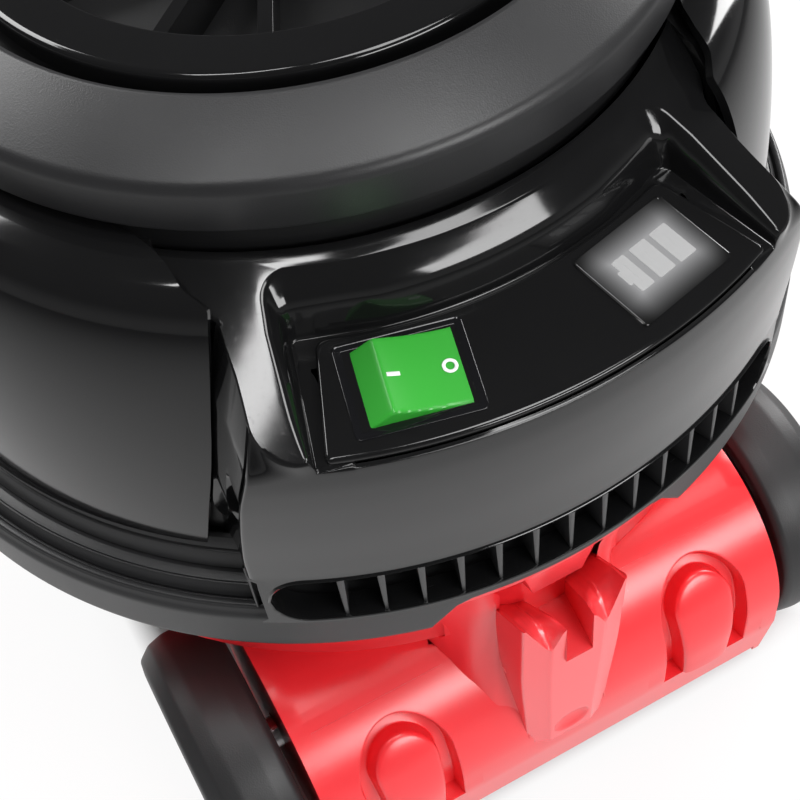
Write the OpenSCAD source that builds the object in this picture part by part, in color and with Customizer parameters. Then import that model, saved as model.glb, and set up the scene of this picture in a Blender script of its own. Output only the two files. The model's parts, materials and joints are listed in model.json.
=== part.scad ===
// Wheeled cordless tub vacuum cleaner.
// Millimetres, +Z up, rear (controls) towards +Y, floor at z = 0, drum axis on the Z axis.
// Azimuths are degrees from the rear, positive towards +X.

/* [Rim and tub] */
// Height of the rim's lower edge above the floor
rim_z = 155; // [150:1:165]
// Height of the rim band
rim_h = 24.6; // [20:0.2:30]
// Thickness of the rim band's wall
rim_wall = 3.5; // [2.5:0.1:4.5]
// Outer radius of the dust tub
tub_r = 141; // [128:0.5:154]
// How far the rim band stands out past the tub
rim_overhang = 19; // [17.5:0.1:21]
// Wall thickness of the dust tub
tub_wall = 3; // [2:0.25:4]
// Height of the tub's underside above the floor
tub_z = 39; // [38.5:0.5:44]
// Height of the notch in the rim at the rear
notch_h = 13.1; // [8:0.1:15]
// Half width of the notch at its top
notch_half_top = 34.4; // [28:0.2:40]
// Half width of the notch at its foot
notch_half_foot = 43.1; // [38:0.1:50]

/* [Rear wheels and housing] */
// Radius of the rear wheels
wheel_r = 50; // [45:0.5:55]
// Distance of the rear axle inside the tub's outer radius
axle_inset = 31; // [29:0.5:34]
// Radius of the rear axle
axle_r = 6; // [4:0.25:8]
// Gap between the rear housing's end and a wheel
wheel_gap = 4.3; // [3:0.1:6]
// Width of a rear wheel's tread
tread_w = 23.2; // [18:0.2:28]
// How far the wheel's outer face bulges past the tread
wheel_dome = 5.2; // [3:0.1:7]
// Radial thickness of the tyre
tyre_t = 5; // [3:0.25:8]
// Radius of the rear housing
housing_r = 50.3; // [46:0.1:54]
// Half width of the rear housing
housing_half = 91.5; // [86:0.5:93]
// Wall thickness of the rear housing
housing_wall = 3; // [2:0.25:4]
// Distance of a tool park from the middle
park_x = 60; // [54:0.5:66]
// Half width of a tool park's groove, outside
park_half = 17.4; // [15:0.2:20]
// Width of a tool park's groove
park_groove = 4.4; // [3:0.1:6]
// Depth of a tool park's groove
park_depth = 2; // [1:0.1:2.2]
// Length of a tool park's legs below its round end
park_leg = 24; // [20:0.5:28]

/* [Tool dock] */
// Half width of the tool dock
dock_half = 19; // [16:0.5:24]
// How far the dock's front face stands out past the rear housing
dock_proud = 0.4; // [0.2:0.1:3]
// Height of the dock's outer corners
dock_top = 140; // [132:1:146]
// Half width of the dock's slot
slot_half = 4.9; // [4:0.1:7]
// Height of the slot's floor
slot_floor = 104; // [98:1:110]

/* [Castors] */
// Radius of a castor wheel
castor_r = 15; // [12:0.5:15]
// Width of a castor wheel
castor_w = 12; // [9:0.5:14]
// Trail of a castor wheel behind its stem
castor_trail = 14; // [10:0.5:18]
// Radius of a castor's stem
stem_r = 4; // [3:0.25:5]
// Distance of each castor stem outside the tub
castor_overhang = 10; // [9:0.25:12]

/* [Head] */
// Width of the ledge, from the rim band to the foot of the side panels
ledge_w = 15.1; // [12:0.1:17]
// Height of the ledge's step below the side panels
skirt_h = 12.2; // [9:0.2:15]
// Height of the side panels
dome_h = 93; // [84:1:100]
// Thickness of the panels and covers
cover_t = 3; // [2:0.25:4]
// Distance of the panels' rear seam inside the head's outer radius
seam_inset = 31.9; // [29:0.1:36]
// Distance of the top ring inside the head's outer radius
ring_inset = 26.2; // [24:0.1:29]
// Width of the top ring
ring_w = 22.2; // [18:0.1:24]
// Height of the top ring
ring_h = 24.5; // [20:0.5:30]
// Width of the groove between the top ring and the top disc
disc_gap = 7.9; // [6:0.1:10]
// Width of the top disc
disc_w = 15.6; // [12:0.1:18]
// Depth of the well below the top disc
well_depth = 88; // [76:1:92]

/* [Control pod] */
// How far the pod stands out past the rim band
pod_overhang = 7; // [6:0.1:9]
// Half width of the pod
pod_half = 88; // [84:0.5:89]
// Distance of the deck's side inside the pod's side
deck_inset = 12; // [10:0.5:14]
// Width of the deck behind the pocket
deck_w = 7.2; // [5:0.1:9]
// Run of the pocket's sloping back wall
pocket_slope = 9.8; // [7:0.1:12]
// Half width of the control panel at its front edge
panel_half = 69.72; // [64:0.01:72]
// Depth of the panel's back edge below the deck
panel_drop = 14.2; // [10:0.2:18]
// Fall of the panel towards its front edge, in degrees
panel_tilt = 8.4; // [4:0.2:12]
// Thickness of the control panel
panel_t = 2.5; // [1.5:0.25:4]
// Azimuth of the rocker and, mirrored, of the gauge
control_az = 14; // [12:0.5:14.5]
// Rocker length along the panel
rocker_l = 27.4; // [24:0.2:30]
// Rocker width across the panel
rocker_w = 22.3; // [18:0.1:24]
// Height of the rocker's raised ridge above the panel
rocker_ridge = 4.8; // [3:0.1:6]
// Gauge lens length along the panel
gauge_l = 32.6; // [28:0.2:36]
// Gauge lens width across the panel
gauge_w = 25.8; // [20:0.2:28]

/* [Exhaust slot] */
// Height of the exhaust slot
vent_h = 21.3; // [16:0.1:24]
// Half width of the exhaust slot
vent_half = 84.27; // [76:0.01:84.8]
// Number of fins in the slot
fin_count = 13; // [9:1:15]
// Spacing of the fins along the slot
fin_pitch = 11.4; // [10:0.1:11.5]
// Thickness of a fin
fin_t = 1.6; // [1:0.1:2.5]

/* [Battery and handle] */
// Clearance of the battery pack in the well
battery_gap = 1; // [0.7:0.1:3]
// Height of the battery pack's casing
battery_h = 68; // [55:1:70]
// Radial thickness of the carry handle
handle_t = 9.5; // [8:0.25:12]
// Height of the carry handle's section
handle_h = 15; // [12:0.5:16]
// Radius of the carry handle's pivot pins
pivot_r = 4; // [3:0.25:5]

/* [Hose inlet] */
// Bore radius of the hose inlet
inlet_r = 19; // [16:0.25:22]
// Height of the hose inlet above the floor
inlet_z = 100; // [90:1:110]

/* [Motor and filter] */
// Outer radius of the motor housing
motor_r = 46; // [38:0.5:50]
// Outer radius of the filter
filter_r = 45; // [38:0.5:50]
// Number of pleats
pleats = 28; // [16:2:40]
// Height of the filter cage
cage_h = 62; // [50:1:75]

/* [Hidden] */
$fn = 96;

big = 400;
run = 0.06;          // radial clearance of a running fit
gap = 0.3;           // clearance between pieces that move past each other
eps = 0.01;

// Radii and half widths
rim_r = tub_r + rim_overhang;
dome_r = rim_r - ledge_w;
ring_r = dome_r - ring_inset;
ring_in_r = ring_r - ring_w;
disc_r = ring_in_r - disc_gap;
well_r = disc_r - disc_w;
battery_r = well_r - battery_gap;
pod_r = rim_r + pod_overhang;
seam_y = dome_r - seam_inset;
deck_half = pod_half - deck_inset;
axle_y = tub_r - axle_inset;
dock_y = axle_y + housing_r + dock_proud;
castor_reach = tub_r + castor_overhang;
wheel_in_x = housing_half + wheel_gap;

// Heights
rim_top = rim_z + rim_h;
flange_z = rim_z + rim_wall;
flange_t = 3;
seal_t = 2.5;
tray_z = flange_z + flange_t + seal_t;
dome_z = rim_top + skirt_h;
dome_top = dome_z + dome_h;
deck_z = dome_top - 6.4;
ring_z = dome_top + 6.3;
top_z = ring_z + ring_h;
bay_flange_z = ring_z + 5.9;
bay_flange_t = 3;
web_z = bay_flange_z + bay_flange_t;
disc_top = top_z - 1.9;
bay_wall = 3;
bay_floor = disc_top - well_depth;
neck_r = ring_r - 5.7;
neck_t = 3;

// Tub
step_y = axle_y - housing_r - housing_wall;
step_z = wheel_r + housing_r + 11.7;
flange_r = rim_r - rim_wall - 0.3;
web_r = tub_r + 0.2;

// Chassis
chassis_t = 5;
chassis_z = tub_z - chassis_t;
boss_r = stem_r + 4.5;
boss_h = 20;
lug_half = boss_r - 1.5;
bracket_x = 70;
bracket_t = 8;
screw_r = 2;
screw_at = 80;

// Wheels
wheel_out_x = wheel_in_x + tread_w;
cap_r = 0.78 * wheel_r;
cap_t = 3;
hub_r = axle_r + 6;
axle_half = wheel_out_x - 2;

// Castors
castor_az = 135;
castor_x = castor_reach * sin(castor_az);
castor_y = castor_reach * cos(castor_az);
castor_pin_r = 2.5;
fork_t = 2.5;
fork_gap = castor_w / 2 + 0.4;
crown_z = 2 * castor_r + 1.2;
crown_t = chassis_z - gap - crown_z;

// Housing and dock
column_r = rim_r - 1.2;
column_half_deg = asin(notch_half_foot / rim_r);
column_in_r = tub_r + 0.4;
column_foot = 24;
column_foot_r = axle_y + column_foot;
column_foot_z = wheel_r + sqrt(housing_r * housing_r - column_foot * column_foot) - 0.5;
column_back_r = axle_y + column_foot / 2;
dock_base_z = wheel_r - 1;
dock_back = 26;
dock_valley = 18;
dock_mouth = 28;

// Pod
deck_r = neck_r + gap;
pocket_r = deck_r + deck_w;
panel_r = pocket_r + pocket_slope;
panel_z = deck_z - 0.6 - panel_drop;
panel_front_r = pod_r - 1.4;
panel_front_z = panel_z - (panel_front_r - panel_r) * tan(panel_tilt);
panel_half_deg = asin(panel_half / panel_front_r);
control_r = (panel_r + panel_front_r) / 2 - 1.35;
control_z = panel_z - (control_r - panel_r) * tan(panel_tilt);
vent_z = rim_top - 3.7;
vent_top = vent_z + vent_h;
vent_r = pod_r - 4.8;
vent_half_deg = asin(vent_half / vent_r);
fin_step = atan(fin_pitch / vent_r);
pod_foot = vent_z - 2.3;
pod_foot_r = vent_r;
shoulder_z = panel_front_z + 3;
rim_cut_deg = asin((pod_half + gap) / (rim_r - rim_wall)) + 0.6;
board_t = 1.6;
board_drop = 16;
board_half = 46;
board_l = 20;
board_y = panel_r + 1.5;
post_x = 10;
post_r = 3;
rocker_slot = 0.5;
bezel_lip = 2.5;
bezel_wall = 1.2;
bezel_depth = 11;
rocker_pivot = -3;
rocker_pin_r = 1.5;
lens_t = 2;
lens_proud = 0.2;

// Handle
handle_in_r = ring_r + 2.8;
handle_z = dome_top + gap;
handle_eye_r = 8.5;
pivot_z = handle_z + 9.9;
pivot_cap_r = pivot_r + 2.5;
pivot_cap_t = 2.5;

// Latches
latch_x = rim_r + gap;
latch_t = 5;
latch_half = 12;
latch_pin_r = 1.5;
latch_pin_x = latch_x + 3.2;
latch_pin_z = rim_z + 5;
latch_ear_t = 3;
ledge_top = rim_top + 1;
latch_hook = 4;

// Inlet: it stands out as far at the front as the pod does at the rear
inlet_wall = 3;
inlet_face = pod_r;
inlet_back = tub_r - 5;
inlet_flange_r = inlet_r + 11;
inlet_seal_l = 4;
inlet_seal_t = 2;

// Motor, fan and filter
motor_wall = 3;
tray_t = 3;
motor_z = tray_z + tray_t;
motor_top = bay_floor - bay_wall;
shaft_r = 3;
fan_r = motor_r - 8;
fan_z = motor_z + 8;
fan_h = 10;
cage_r = filter_r + 3.4;
cage_t = 2;
cage_z = tray_z - cage_h;
filter_t = 7;
motor_port_r = 22;

// Azimuth wedge of a revolved profile, from az a to az b
module wedge(a, b) {
    rotate([0, 0, 90 - b])
        rotate_extrude(angle = b - a) children();
}

// Tube along Z
module tube(ro, ri, h) {
    difference() {
        cylinder(r = ro, h = h);
        translate([0, 0, -1]) cylinder(r = ri, h = h + 2);
    }
}

// Cylinder along X, centred on x
module x_cylinder(r, l, x = 0) {
    translate([x - l / 2, 0, 0]) rotate([0, 90, 0]) cylinder(r = r, h = l);
}

// Right half of the part (+X is its left side, seen from behind)
module mirror_x(side) {
    mirror([side < 0 ? 1 : 0, 0, 0]) children();
}

// Place a control on the panel: local x along the panel, y outwards, z off the panel
module on_panel(az) {
    rotate([0, 0, -az])
        translate([0, control_r, control_z])
            rotate([-panel_tilt, 0, 0]) children();
}

// Domed outline of the head: superellipse from its foot to its top
dome_core_r = dome_r - 44.9;
dome_steps = 9;
function dome_point(i, t) =
    let (s = i / dome_steps, h = dome_h - t, q = sin(90 * s))
    [dome_core_r + (dome_r - t - dome_core_r) * pow(1 - pow(q, 1.8), 1 / 7), dome_z + h * q];
function dome_outline(t) = [for (i = [0 : dome_steps - 1]) dome_point(i, t)];

// Solid of the head inside its panels, thinner by t than the outer form
module dome_profile(t) {
    polygon(concat([[0, dome_z]], dome_outline(t), [[dome_core_r, dome_z + dome_h - t], [0, dome_z + dome_h - t]]));
}

// Space taken by the pod and its deck, grown by g
module pod_space(g) {
    translate([-pod_half - g, seam_y + gap - g, 0])
        cube([2 * (pod_half + g), big, big]);
    translate([-deck_half - g, seam_y - 29 - g, shoulder_z])
        cube([2 * (deck_half + g), big, big]);
}

// Filled outline of the pod, inset by t
module pod_profile(t) {
    polygon([
        [deck_r, pod_foot],
        [pod_foot_r - t, pod_foot],
        [vent_r - t, vent_top],
        [pod_r - 2.5 - t, (vent_top + panel_front_z) / 2],
        [pod_r - t, panel_front_z - 4],
        [pod_r - t, panel_front_z + 2 - t],
        [pocket_r, deck_z + 0.6 - t],
        [deck_r, deck_z - t]
    ]);
}

// ---- Base ----

module castor_place(side) {
    mirror_x(side) translate([castor_x, castor_y, 0]) children();
}

module axle_place() {
    translate([0, axle_y, wheel_r]) children();
}

// Plate that carries the axle, grown by g
module bracket_box(side, g) {
    translate([side * bracket_x - bracket_t / 2 - g, step_y - 20, chassis_z - g])
        cube([bracket_t + 2 * g, axle_y - step_y + 32 + g, wheel_r + hub_r - chassis_z + 2 * g]);
}

module chassis() {
    color("dimgray") difference() {
        union() {
            translate([0, 0, chassis_z]) intersection() {
                cylinder(r = tub_r, h = chassis_t);
                translate([-big / 2, -big + step_y, -1]) cube([big, big, big]);
            }
            for (side = [-1, 1]) {
                castor_place(side) translate([0, 0, chassis_z]) {
                    cylinder(r = boss_r, h = boss_h);
                    rotate([0, 0, 45]) translate([-lug_half, 0, 0])
                        cube([2 * lug_half, castor_reach - tub_r + 10, chassis_t]);
                }
                intersection() {
                    bracket_box(side, 0);
                    union() {
                        translate([-big / 2, step_y + gap, 0]) cube([big, big, big]);
                        translate([-big / 2, 0, 0]) cube([big, big, tub_z]);
                    }
                }
            }
        }
        for (side = [-1, 1])
            castor_place(side) translate([0, 0, chassis_z - 1])
                cylinder(r = stem_r + run, h = boss_h + 2);
        axle_place() x_cylinder(axle_r, big);
        screw_places() cylinder(r = screw_r, h = big);
        screw_places() translate([0, 0, chassis_z - 1]) cylinder(r = 2 * screw_r, h = 3);
        translate([0, 0, tub_z]) intersection() {
            cylinder(r = tub_r + 0.4, h = boss_h);
            translate([-big / 2, -big + step_y, -1]) cube([big, big, big]);
        }
    }
}

module screw_places() {
    for (x = [-screw_at, screw_at], y = [-screw_at / 2, screw_at / 2])
        translate([x, y, 0]) children();
}

module chassis_screws() {
    color("silver") screw_places() {
        translate([0, 0, chassis_z + 0.4]) cylinder(r = 2 * screw_r, h = 1.6);
        translate([0, 0, chassis_z + 2]) cylinder(r = screw_r, h = chassis_t - 2 + tub_wall);
    }
}

module tub_form(t, top) {
    difference() {
        translate([0, 0, tub_z + t]) cylinder(r = tub_r - t, h = top - tub_z - t);
        translate([-big / 2, step_y - t, 0]) cube([big, big, step_z + t]);
    }
}

module tub() {
    color("firebrick") difference() {
        union() {
            tub_form(0, flange_z + flange_t);
            translate([0, 0, flange_z]) cylinder(r = flange_r, h = flange_t);
        }
        tub_form(tub_wall, big);
        screw_places() translate([0, 0, tub_z - 1]) cylinder(r = screw_r, h = tub_wall + 2);
        translate([0, -tub_r + tub_wall + 2, inlet_z]) rotate([90, 0, 0])
            cylinder(r = inlet_r + inlet_wall, h = 30);
    }
}

module tub_seal() {
    color("black") translate([0, 0, flange_z + flange_t]) tube(flange_r - 4, tub_r - 2, seal_t);
}

module notch(extra) {
    translate([0, big / 2, 0]) rotate([90, 0, 0]) linear_extrude(big / 2)
        polygon([
            [-notch_half_foot - extra, rim_z - 1], [notch_half_foot + extra, rim_z - 1],
            [notch_half_foot + extra, rim_z + 4], [notch_half_top + extra, rim_z + notch_h],
            [-notch_half_top - extra, rim_z + notch_h], [-notch_half_foot - extra, rim_z + 4]
        ]);
}

module rim_band() {
    color("#333333") difference() {
        union() {
            rotate_extrude() polygon([
                [web_r, rim_z], [rim_r - 1.5, rim_z], [rim_r, rim_z + 1.5], [rim_r, rim_top - 2],
                [rim_r - 2, rim_top], [rim_r - rim_wall, rim_top], [rim_r - rim_wall, flange_z],
                [web_r, flange_z]
            ]);
            for (side = [-1, 1]) mirror_x(side) for (e = [-1, 1])
                translate([rim_r - rim_wall, e * (latch_half + gap + latch_ear_t / 2) - latch_ear_t / 2, rim_z + 1])
                    cube([latch_pin_x + 3 - rim_r + rim_wall, latch_ear_t, 8]);
        }
        notch(0);
        latch_pin_holes();
        wedge(-rim_cut_deg, rim_cut_deg) translate([rim_r - rim_wall - 1, pod_foot - gap]) square([20, 30]);
    }
}

module latch_pin_holes() {
    for (side = [-1, 1]) mirror_x(side)
        translate([latch_pin_x, latch_half + gap + latch_ear_t + 1, latch_pin_z]) rotate([90, 0, 0])
            cylinder(r = latch_pin_r, h = 2 * (latch_half + gap + latch_ear_t + 1), $fn = 48);
}

module column_form() {
    wedge(-column_half_deg, column_half_deg) polygon([
        [column_back_r, column_foot_z - 3], [column_foot_r, column_foot_z], [column_r, rim_z - 5],
        [column_r, flange_z - 0.2], [column_in_r, flange_z - 0.2], [column_in_r, step_z - 0.3],
        [column_back_r, step_z - 0.3]
    ]);
    intersection() {
        wedge(-column_half_deg, column_half_deg)
            translate([flange_r + gap, rim_z - 3]) square([column_r - flange_r - gap, notch_h + 2.7]);
        notch(-gap);
    }
}

// Everything behind the column's outer face
module column_backing() {
    wedge(-30, 30) polygon([
        [0, column_foot_z], [column_foot_r, column_foot_z], [column_r, rim_z - 5], [column_r, big], [0, big]
    ]);
}

module housing_outline(t) {
    intersection() {
        union() {
            circle(r = housing_r - t);
            translate([-housing_r + t, -wheel_r + 8.4]) square([2 * (housing_r - t) - 4.7, wheel_r - 8.4]);
            polygon([[0, 0], [housing_r - t, 0], [housing_r - t, -12], [housing_r - 4.7 - t, -wheel_r + 8.4],
                [0, -wheel_r + 8.4]]);
        }
        translate([-big, -wheel_r + 8.4]) square([2 * big, big]);
    }
}

module horseshoe(half) {
    drop = park_half + park_leg;
    translate([0, -drop]) square([2 * half, 2 * drop - 2 * park_half], center = true);
    circle(r = half);
    translate([-half, -drop]) square([2 * half, drop]);
}

module rear_housing() {
    top_z_park = wheel_r + 0.39 * housing_r;
    color("#e02434") difference() {
        union() {
            difference() {
                axle_place() rotate([90, 0, 90])
                    translate([0, 0, -housing_half]) linear_extrude(2 * housing_half) housing_outline(0);
                axle_place() rotate([90, 0, 90])
                    translate([0, 0, -housing_half + housing_wall])
                        linear_extrude(2 * (housing_half - housing_wall)) housing_outline(housing_wall);
                translate([-housing_half + housing_wall, 0, 0])
                    cube([2 * (housing_half - housing_wall), big, 8.4 + housing_wall + 1]);
            }
            column_form();
        }
        translate([-big / 2, -big + step_y + 0.3, -1]) cube([big, big, big]);
        axle_place() x_cylinder(axle_r + 1, big);
        for (side = [-1, 1]) bracket_box(side, gap);
        for (side = [-1, 1]) difference() {
            translate([side * park_x, axle_y + big, top_z_park]) rotate([90, 0, 0])
                linear_extrude(big) difference() {
                    horseshoe(park_half);
                    translate([0, 2]) horseshoe(park_half - park_groove);
                }
            axle_place() x_cylinder(housing_r - park_depth, big);
            translate([-big / 2, 0, -1]) cube([big, big, dock_base_z - 5]);
        }
    }
}

module tool_dock() {
    color("#f03040") difference() {
        translate([0, dock_y, 0]) rotate([90, 0, 0]) linear_extrude(dock_back) polygon([
            [-dock_half + 4, dock_base_z], [dock_half - 4, dock_base_z], [dock_half, dock_base_z + 30],
            [dock_half, dock_top], [dock_half * 0.45, dock_top - dock_valley], [slot_half, dock_top - dock_mouth],
            [slot_half, slot_floor], [-slot_half, slot_floor], [-slot_half, dock_top - dock_mouth],
            [-dock_half * 0.45, dock_top - dock_valley], [-dock_half, dock_top], [-dock_half, dock_base_z + 30]
        ]);
        column_backing();
        axle_place() x_cylinder(housing_r + eps, 3 * dock_half);
        translate([-dock_half, 0, 0]) cube([2 * dock_half, axle_y, big]);
    }
}

module rear_axle() {
    color("silver") axle_place() x_cylinder(axle_r, 2 * axle_half);
}

module wheel_core() {
    rotate([0, 90, 0]) rotate_extrude() polygon([
        [axle_r + run, wheel_in_x], [hub_r, wheel_in_x], [hub_r, wheel_in_x + 8],
        [wheel_r - tyre_t - 3, wheel_in_x + 8], [wheel_r - tyre_t - 3, wheel_in_x + 1],
        [wheel_r - tyre_t, wheel_in_x + 1], [wheel_r - tyre_t, wheel_out_x + 1.5],
        [cap_r, wheel_out_x + 0.4 * wheel_dome], [cap_r, wheel_out_x - 2 + gap],
        [axle_r + run, wheel_out_x - 2 + gap]
    ]);
}

module wheel_tyre() {
    rotate([0, 90, 0]) rotate_extrude() polygon([
        [wheel_r - tyre_t, wheel_in_x], [wheel_r - 3, wheel_in_x], [wheel_r - 0.6, wheel_in_x + 2.5],
        [wheel_r, wheel_in_x + 8], [wheel_r, wheel_out_x - 4], [wheel_r - 0.8, wheel_out_x - 1.5],
        [wheel_r - 2.5, wheel_out_x], [wheel_r - tyre_t, wheel_out_x + 1.5]
    ]);
}

module wheel_cap() {
    base = wheel_out_x - 2 + gap;
    crown = wheel_out_x + wheel_dome;
    rotate([0, 90, 0]) rotate_extrude() polygon([
        [0, base], [cap_r, base], [cap_r, crown - 1.5], [cap_r * 0.96, crown + 0.3],
        [cap_r * 0.7, crown + 1.9], [cap_r * 0.35, crown + cap_t - 0.1], [0, crown + cap_t]
    ]);
}

module wheel_place(side) {
    axle_place() mirror_x(side) children();
}

module wheel_left() { color("#2c2c2c") wheel_place(1) wheel_core(); }
module wheel_right() { color("#2c2c2c") wheel_place(-1) wheel_core(); }
module tyre_left() { color("#303030") wheel_place(1) wheel_tyre(); }
module tyre_right() { color("#303030") wheel_place(-1) wheel_tyre(); }
module hub_cap_left() { color("#e02434") wheel_place(1) wheel_cap(); }
module hub_cap_right() { color("#e02434") wheel_place(-1) wheel_cap(); }

module castor_fork(side) {
    castor_place(side) difference() {
        union() {
            translate([0, 0, crown_z]) cylinder(r = boss_r, h = crown_t);
            translate([0, 0, crown_z]) cylinder(r = stem_r, h = crown_t + gap + boss_h);
            translate([-fork_gap - fork_t, 0, crown_z])
                cube([2 * (fork_gap + fork_t), castor_trail + 5, crown_t]);
            for (e = [-1, 1])
                translate([e * (fork_gap + fork_t / 2) - fork_t / 2, castor_trail - 5, castor_r - 5])
                    cube([fork_t, 10, crown_z - castor_r + 5 + crown_t]);
        }
        translate([0, castor_trail, castor_r]) x_cylinder(castor_pin_r, 60);
    }
}

module castor_fork_left() { color("#2b2b2b") castor_fork(1); }
module castor_fork_right() { color("#2b2b2b") castor_fork(-1); }

module castor_wheel(side) {
    castor_place(side) translate([0, castor_trail, castor_r]) rotate([0, 90, 0])
        rotate_extrude() polygon([
            [castor_pin_r + run, -castor_w / 2], [castor_r - 1.5, -castor_w / 2],
            [castor_r, -castor_w / 2 + 2], [castor_r, castor_w / 2 - 2],
            [castor_r - 1.5, castor_w / 2], [castor_pin_r + run, castor_w / 2]
        ]);
}

module castor_wheel_left() { color("#3a3a3a") castor_wheel(1); }
module castor_wheel_right() { color("#3a3a3a") castor_wheel(-1); }

module castor_axle(side) {
    castor_place(side) translate([0, castor_trail, castor_r])
        x_cylinder(castor_pin_r, 2 * (fork_gap + fork_t));
}

module castor_axle_left() { color("silver") castor_axle(1); }
module castor_axle_right() { color("silver") castor_axle(-1); }

module inlet_place() {
    translate([0, 0, inlet_z]) rotate([90, 0, 0]) children();
}

module hose_inlet() {
    color("#262626") difference() {
        inlet_place() {
            translate([0, 0, inlet_back]) cylinder(r = inlet_r + inlet_wall, h = inlet_face - inlet_back);
            translate([0, 0, tub_r - 12]) cylinder(r = inlet_flange_r, h = 17);
        }
        difference() {
            translate([0, 0, tub_z]) cylinder(r = tub_r, h = big);
            inlet_place() cylinder(r = inlet_r + inlet_wall, h = big);
        }
        inlet_place() cylinder(r = inlet_r, h = big);
        inlet_place() translate([0, 0, inlet_face - inlet_seal_l])
            cylinder(r = inlet_r + inlet_seal_t, h = big);
    }
}

module inlet_seal() {
    color("black") inlet_place() translate([0, 0, inlet_face - inlet_seal_l])
        tube(inlet_r + inlet_seal_t, inlet_r + 0.3, inlet_seal_l);
}

module latch(side) {
    mirror_x(side) difference() {
        union() {
            translate([latch_pin_x, latch_half, latch_pin_z]) rotate([90, 0, 0])
                cylinder(r = latch_pin_x - latch_x - 0.1, h = 2 * latch_half, $fn = 48);
            translate([0, latch_half, 0]) rotate([90, 0, 0]) linear_extrude(2 * latch_half) polygon([
            [latch_x, latch_pin_z], [latch_x + latch_t, latch_pin_z], [latch_x + latch_t, ledge_top],
            [latch_x + latch_t - 3, ledge_top + 3.4], [latch_x - latch_hook, ledge_top + 3.4],
            [latch_x - latch_hook, ledge_top + gap], [latch_x, ledge_top + gap]
            ]);
        }
        translate([latch_pin_x, latch_half + 1, latch_pin_z]) rotate([90, 0, 0])
            cylinder(r = latch_pin_r + run, h = 2 * latch_half + 2, $fn = 48);
    }
}

module latch_left() { color("#303030") latch(1); }
module latch_right() { color("#303030") latch(-1); }

module latch_pins() {
    color("silver") for (side = [-1, 1]) mirror_x(side)
        translate([latch_pin_x, latch_half + gap + latch_ear_t, latch_pin_z]) rotate([90, 0, 0])
            cylinder(r = latch_pin_r, h = 2 * (latch_half + gap + latch_ear_t), $fn = 48);
}

// ---- Head ----

module head_base() {
    color("#2e2e2e") difference() {
        union() {
            difference() {
                rotate_extrude() polygon([
                    [cage_r, tray_z], [flange_r - 0.5, tray_z], [flange_r - 0.5, rim_top],
                    [rim_r - 0.5, rim_top], [rim_r - 0.5, ledge_top], [dome_r + 4.5, ledge_top],
                    [dome_r, dome_z], [dome_r - cover_t - 3, dome_z], [dome_r - cover_t - 3, tray_z + tray_t],
                    [cage_r, tray_z + tray_t]
                ]);
                intersection() {
                    pod_space(gap);
                    translate([0, 0, pod_foot - gap]) cylinder(r = big, h = big);
                    rotate_extrude() translate([dome_r - cover_t - 4, 0]) square([60, big]);
                }
            }
            translate([0, 0, tray_z]) cylinder(r = cage_r, h = tray_t);
        }
        translate([0, 0, tray_z - 1]) cylinder(r = motor_port_r, h = tray_t + 2);
    }
}

module head_shell() {
    color("#242424") difference() {
        union() {
            rotate_extrude() difference() {
                dome_profile(cover_t);
                dome_profile(2 * cover_t);
                square([neck_r - neck_t, big]);
            }
            translate([0, 0, dome_top - cover_t - 1])
                tube(neck_r, neck_r - neck_t, bay_flange_z - dome_top + cover_t + 1);
        }
        intersection() {
            pod_space(gap);
            difference() {
                cylinder(r = big, h = deck_z + 4);
                cylinder(r = neck_r, h = big);
            }
        }
    }
}

module panel_shell() {
    difference() {
        rotate_extrude() difference() {
            dome_profile(0);
            dome_profile(cover_t);
            square([neck_r + 2, big]);
        }
        pod_space(gap);
    }
}

module side_panel() {
    intersection() {
        panel_shell();
        translate([gap, -seam_y, 0]) cube([big, 2 * seam_y, big]);
    }
}

module side_panel_left() { color("#151515") side_panel(); }
module side_panel_right() { color("#151515") mirror([1, 0, 0]) side_panel(); }

module front_panel() {
    color("#181818") intersection() {
        panel_shell();
        translate([-big / 2, -big - seam_y - gap, 0]) cube([big, big, big]);
    }
}

module vent_cut(depth_in, depth_out) {
    end_deg = vent_half_deg - asin(vent_h / 2 / vent_r);
    wedge(-end_deg, end_deg)
        translate([depth_in, vent_z]) square([depth_out - depth_in, vent_h]);
    for (e = [-1, 1])
        rotate([0, 0, -e * end_deg]) translate([0, depth_out, vent_z + vent_h / 2])
            rotate([90, 0, 0]) cylinder(r = vent_h / 2, h = depth_out - depth_in);
}

module pocket_cut() {
    wedge(-panel_half_deg - 0.1, panel_half_deg + 0.1) polygon([
        [pocket_r, big], [pocket_r, deck_z], [panel_r, panel_z - panel_t],
        [panel_front_r + 8, panel_z - panel_t - (panel_front_r + 8 - panel_r) * tan(panel_tilt)],
        [panel_front_r + 8, big]
    ]);
}

module pod_cover() {
    color("#1c1c1c") difference() {
        intersection() {
            wedge(-40, 40) pod_profile(0);
            pod_space(0);
        }
        intersection() {
            wedge(-40, 40) pod_profile(cover_t);
            union() {
                translate([-pod_half + cover_t, seam_y - 1, 0])
                    cube([2 * (pod_half - cover_t), big, shoulder_z - cover_t]);
                translate([-deck_half + cover_t, seam_y - 29 + cover_t, 0])
                    cube([2 * (deck_half - cover_t), big, big]);
            }
        }
        pocket_cut();
        vent_cut(vent_r - 12, vent_r + 12);
        translate([0, 0, pod_foot - 1]) cylinder(r = dome_r - cover_t + gap, h = dome_z - pod_foot + 1);
    }
}

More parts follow.
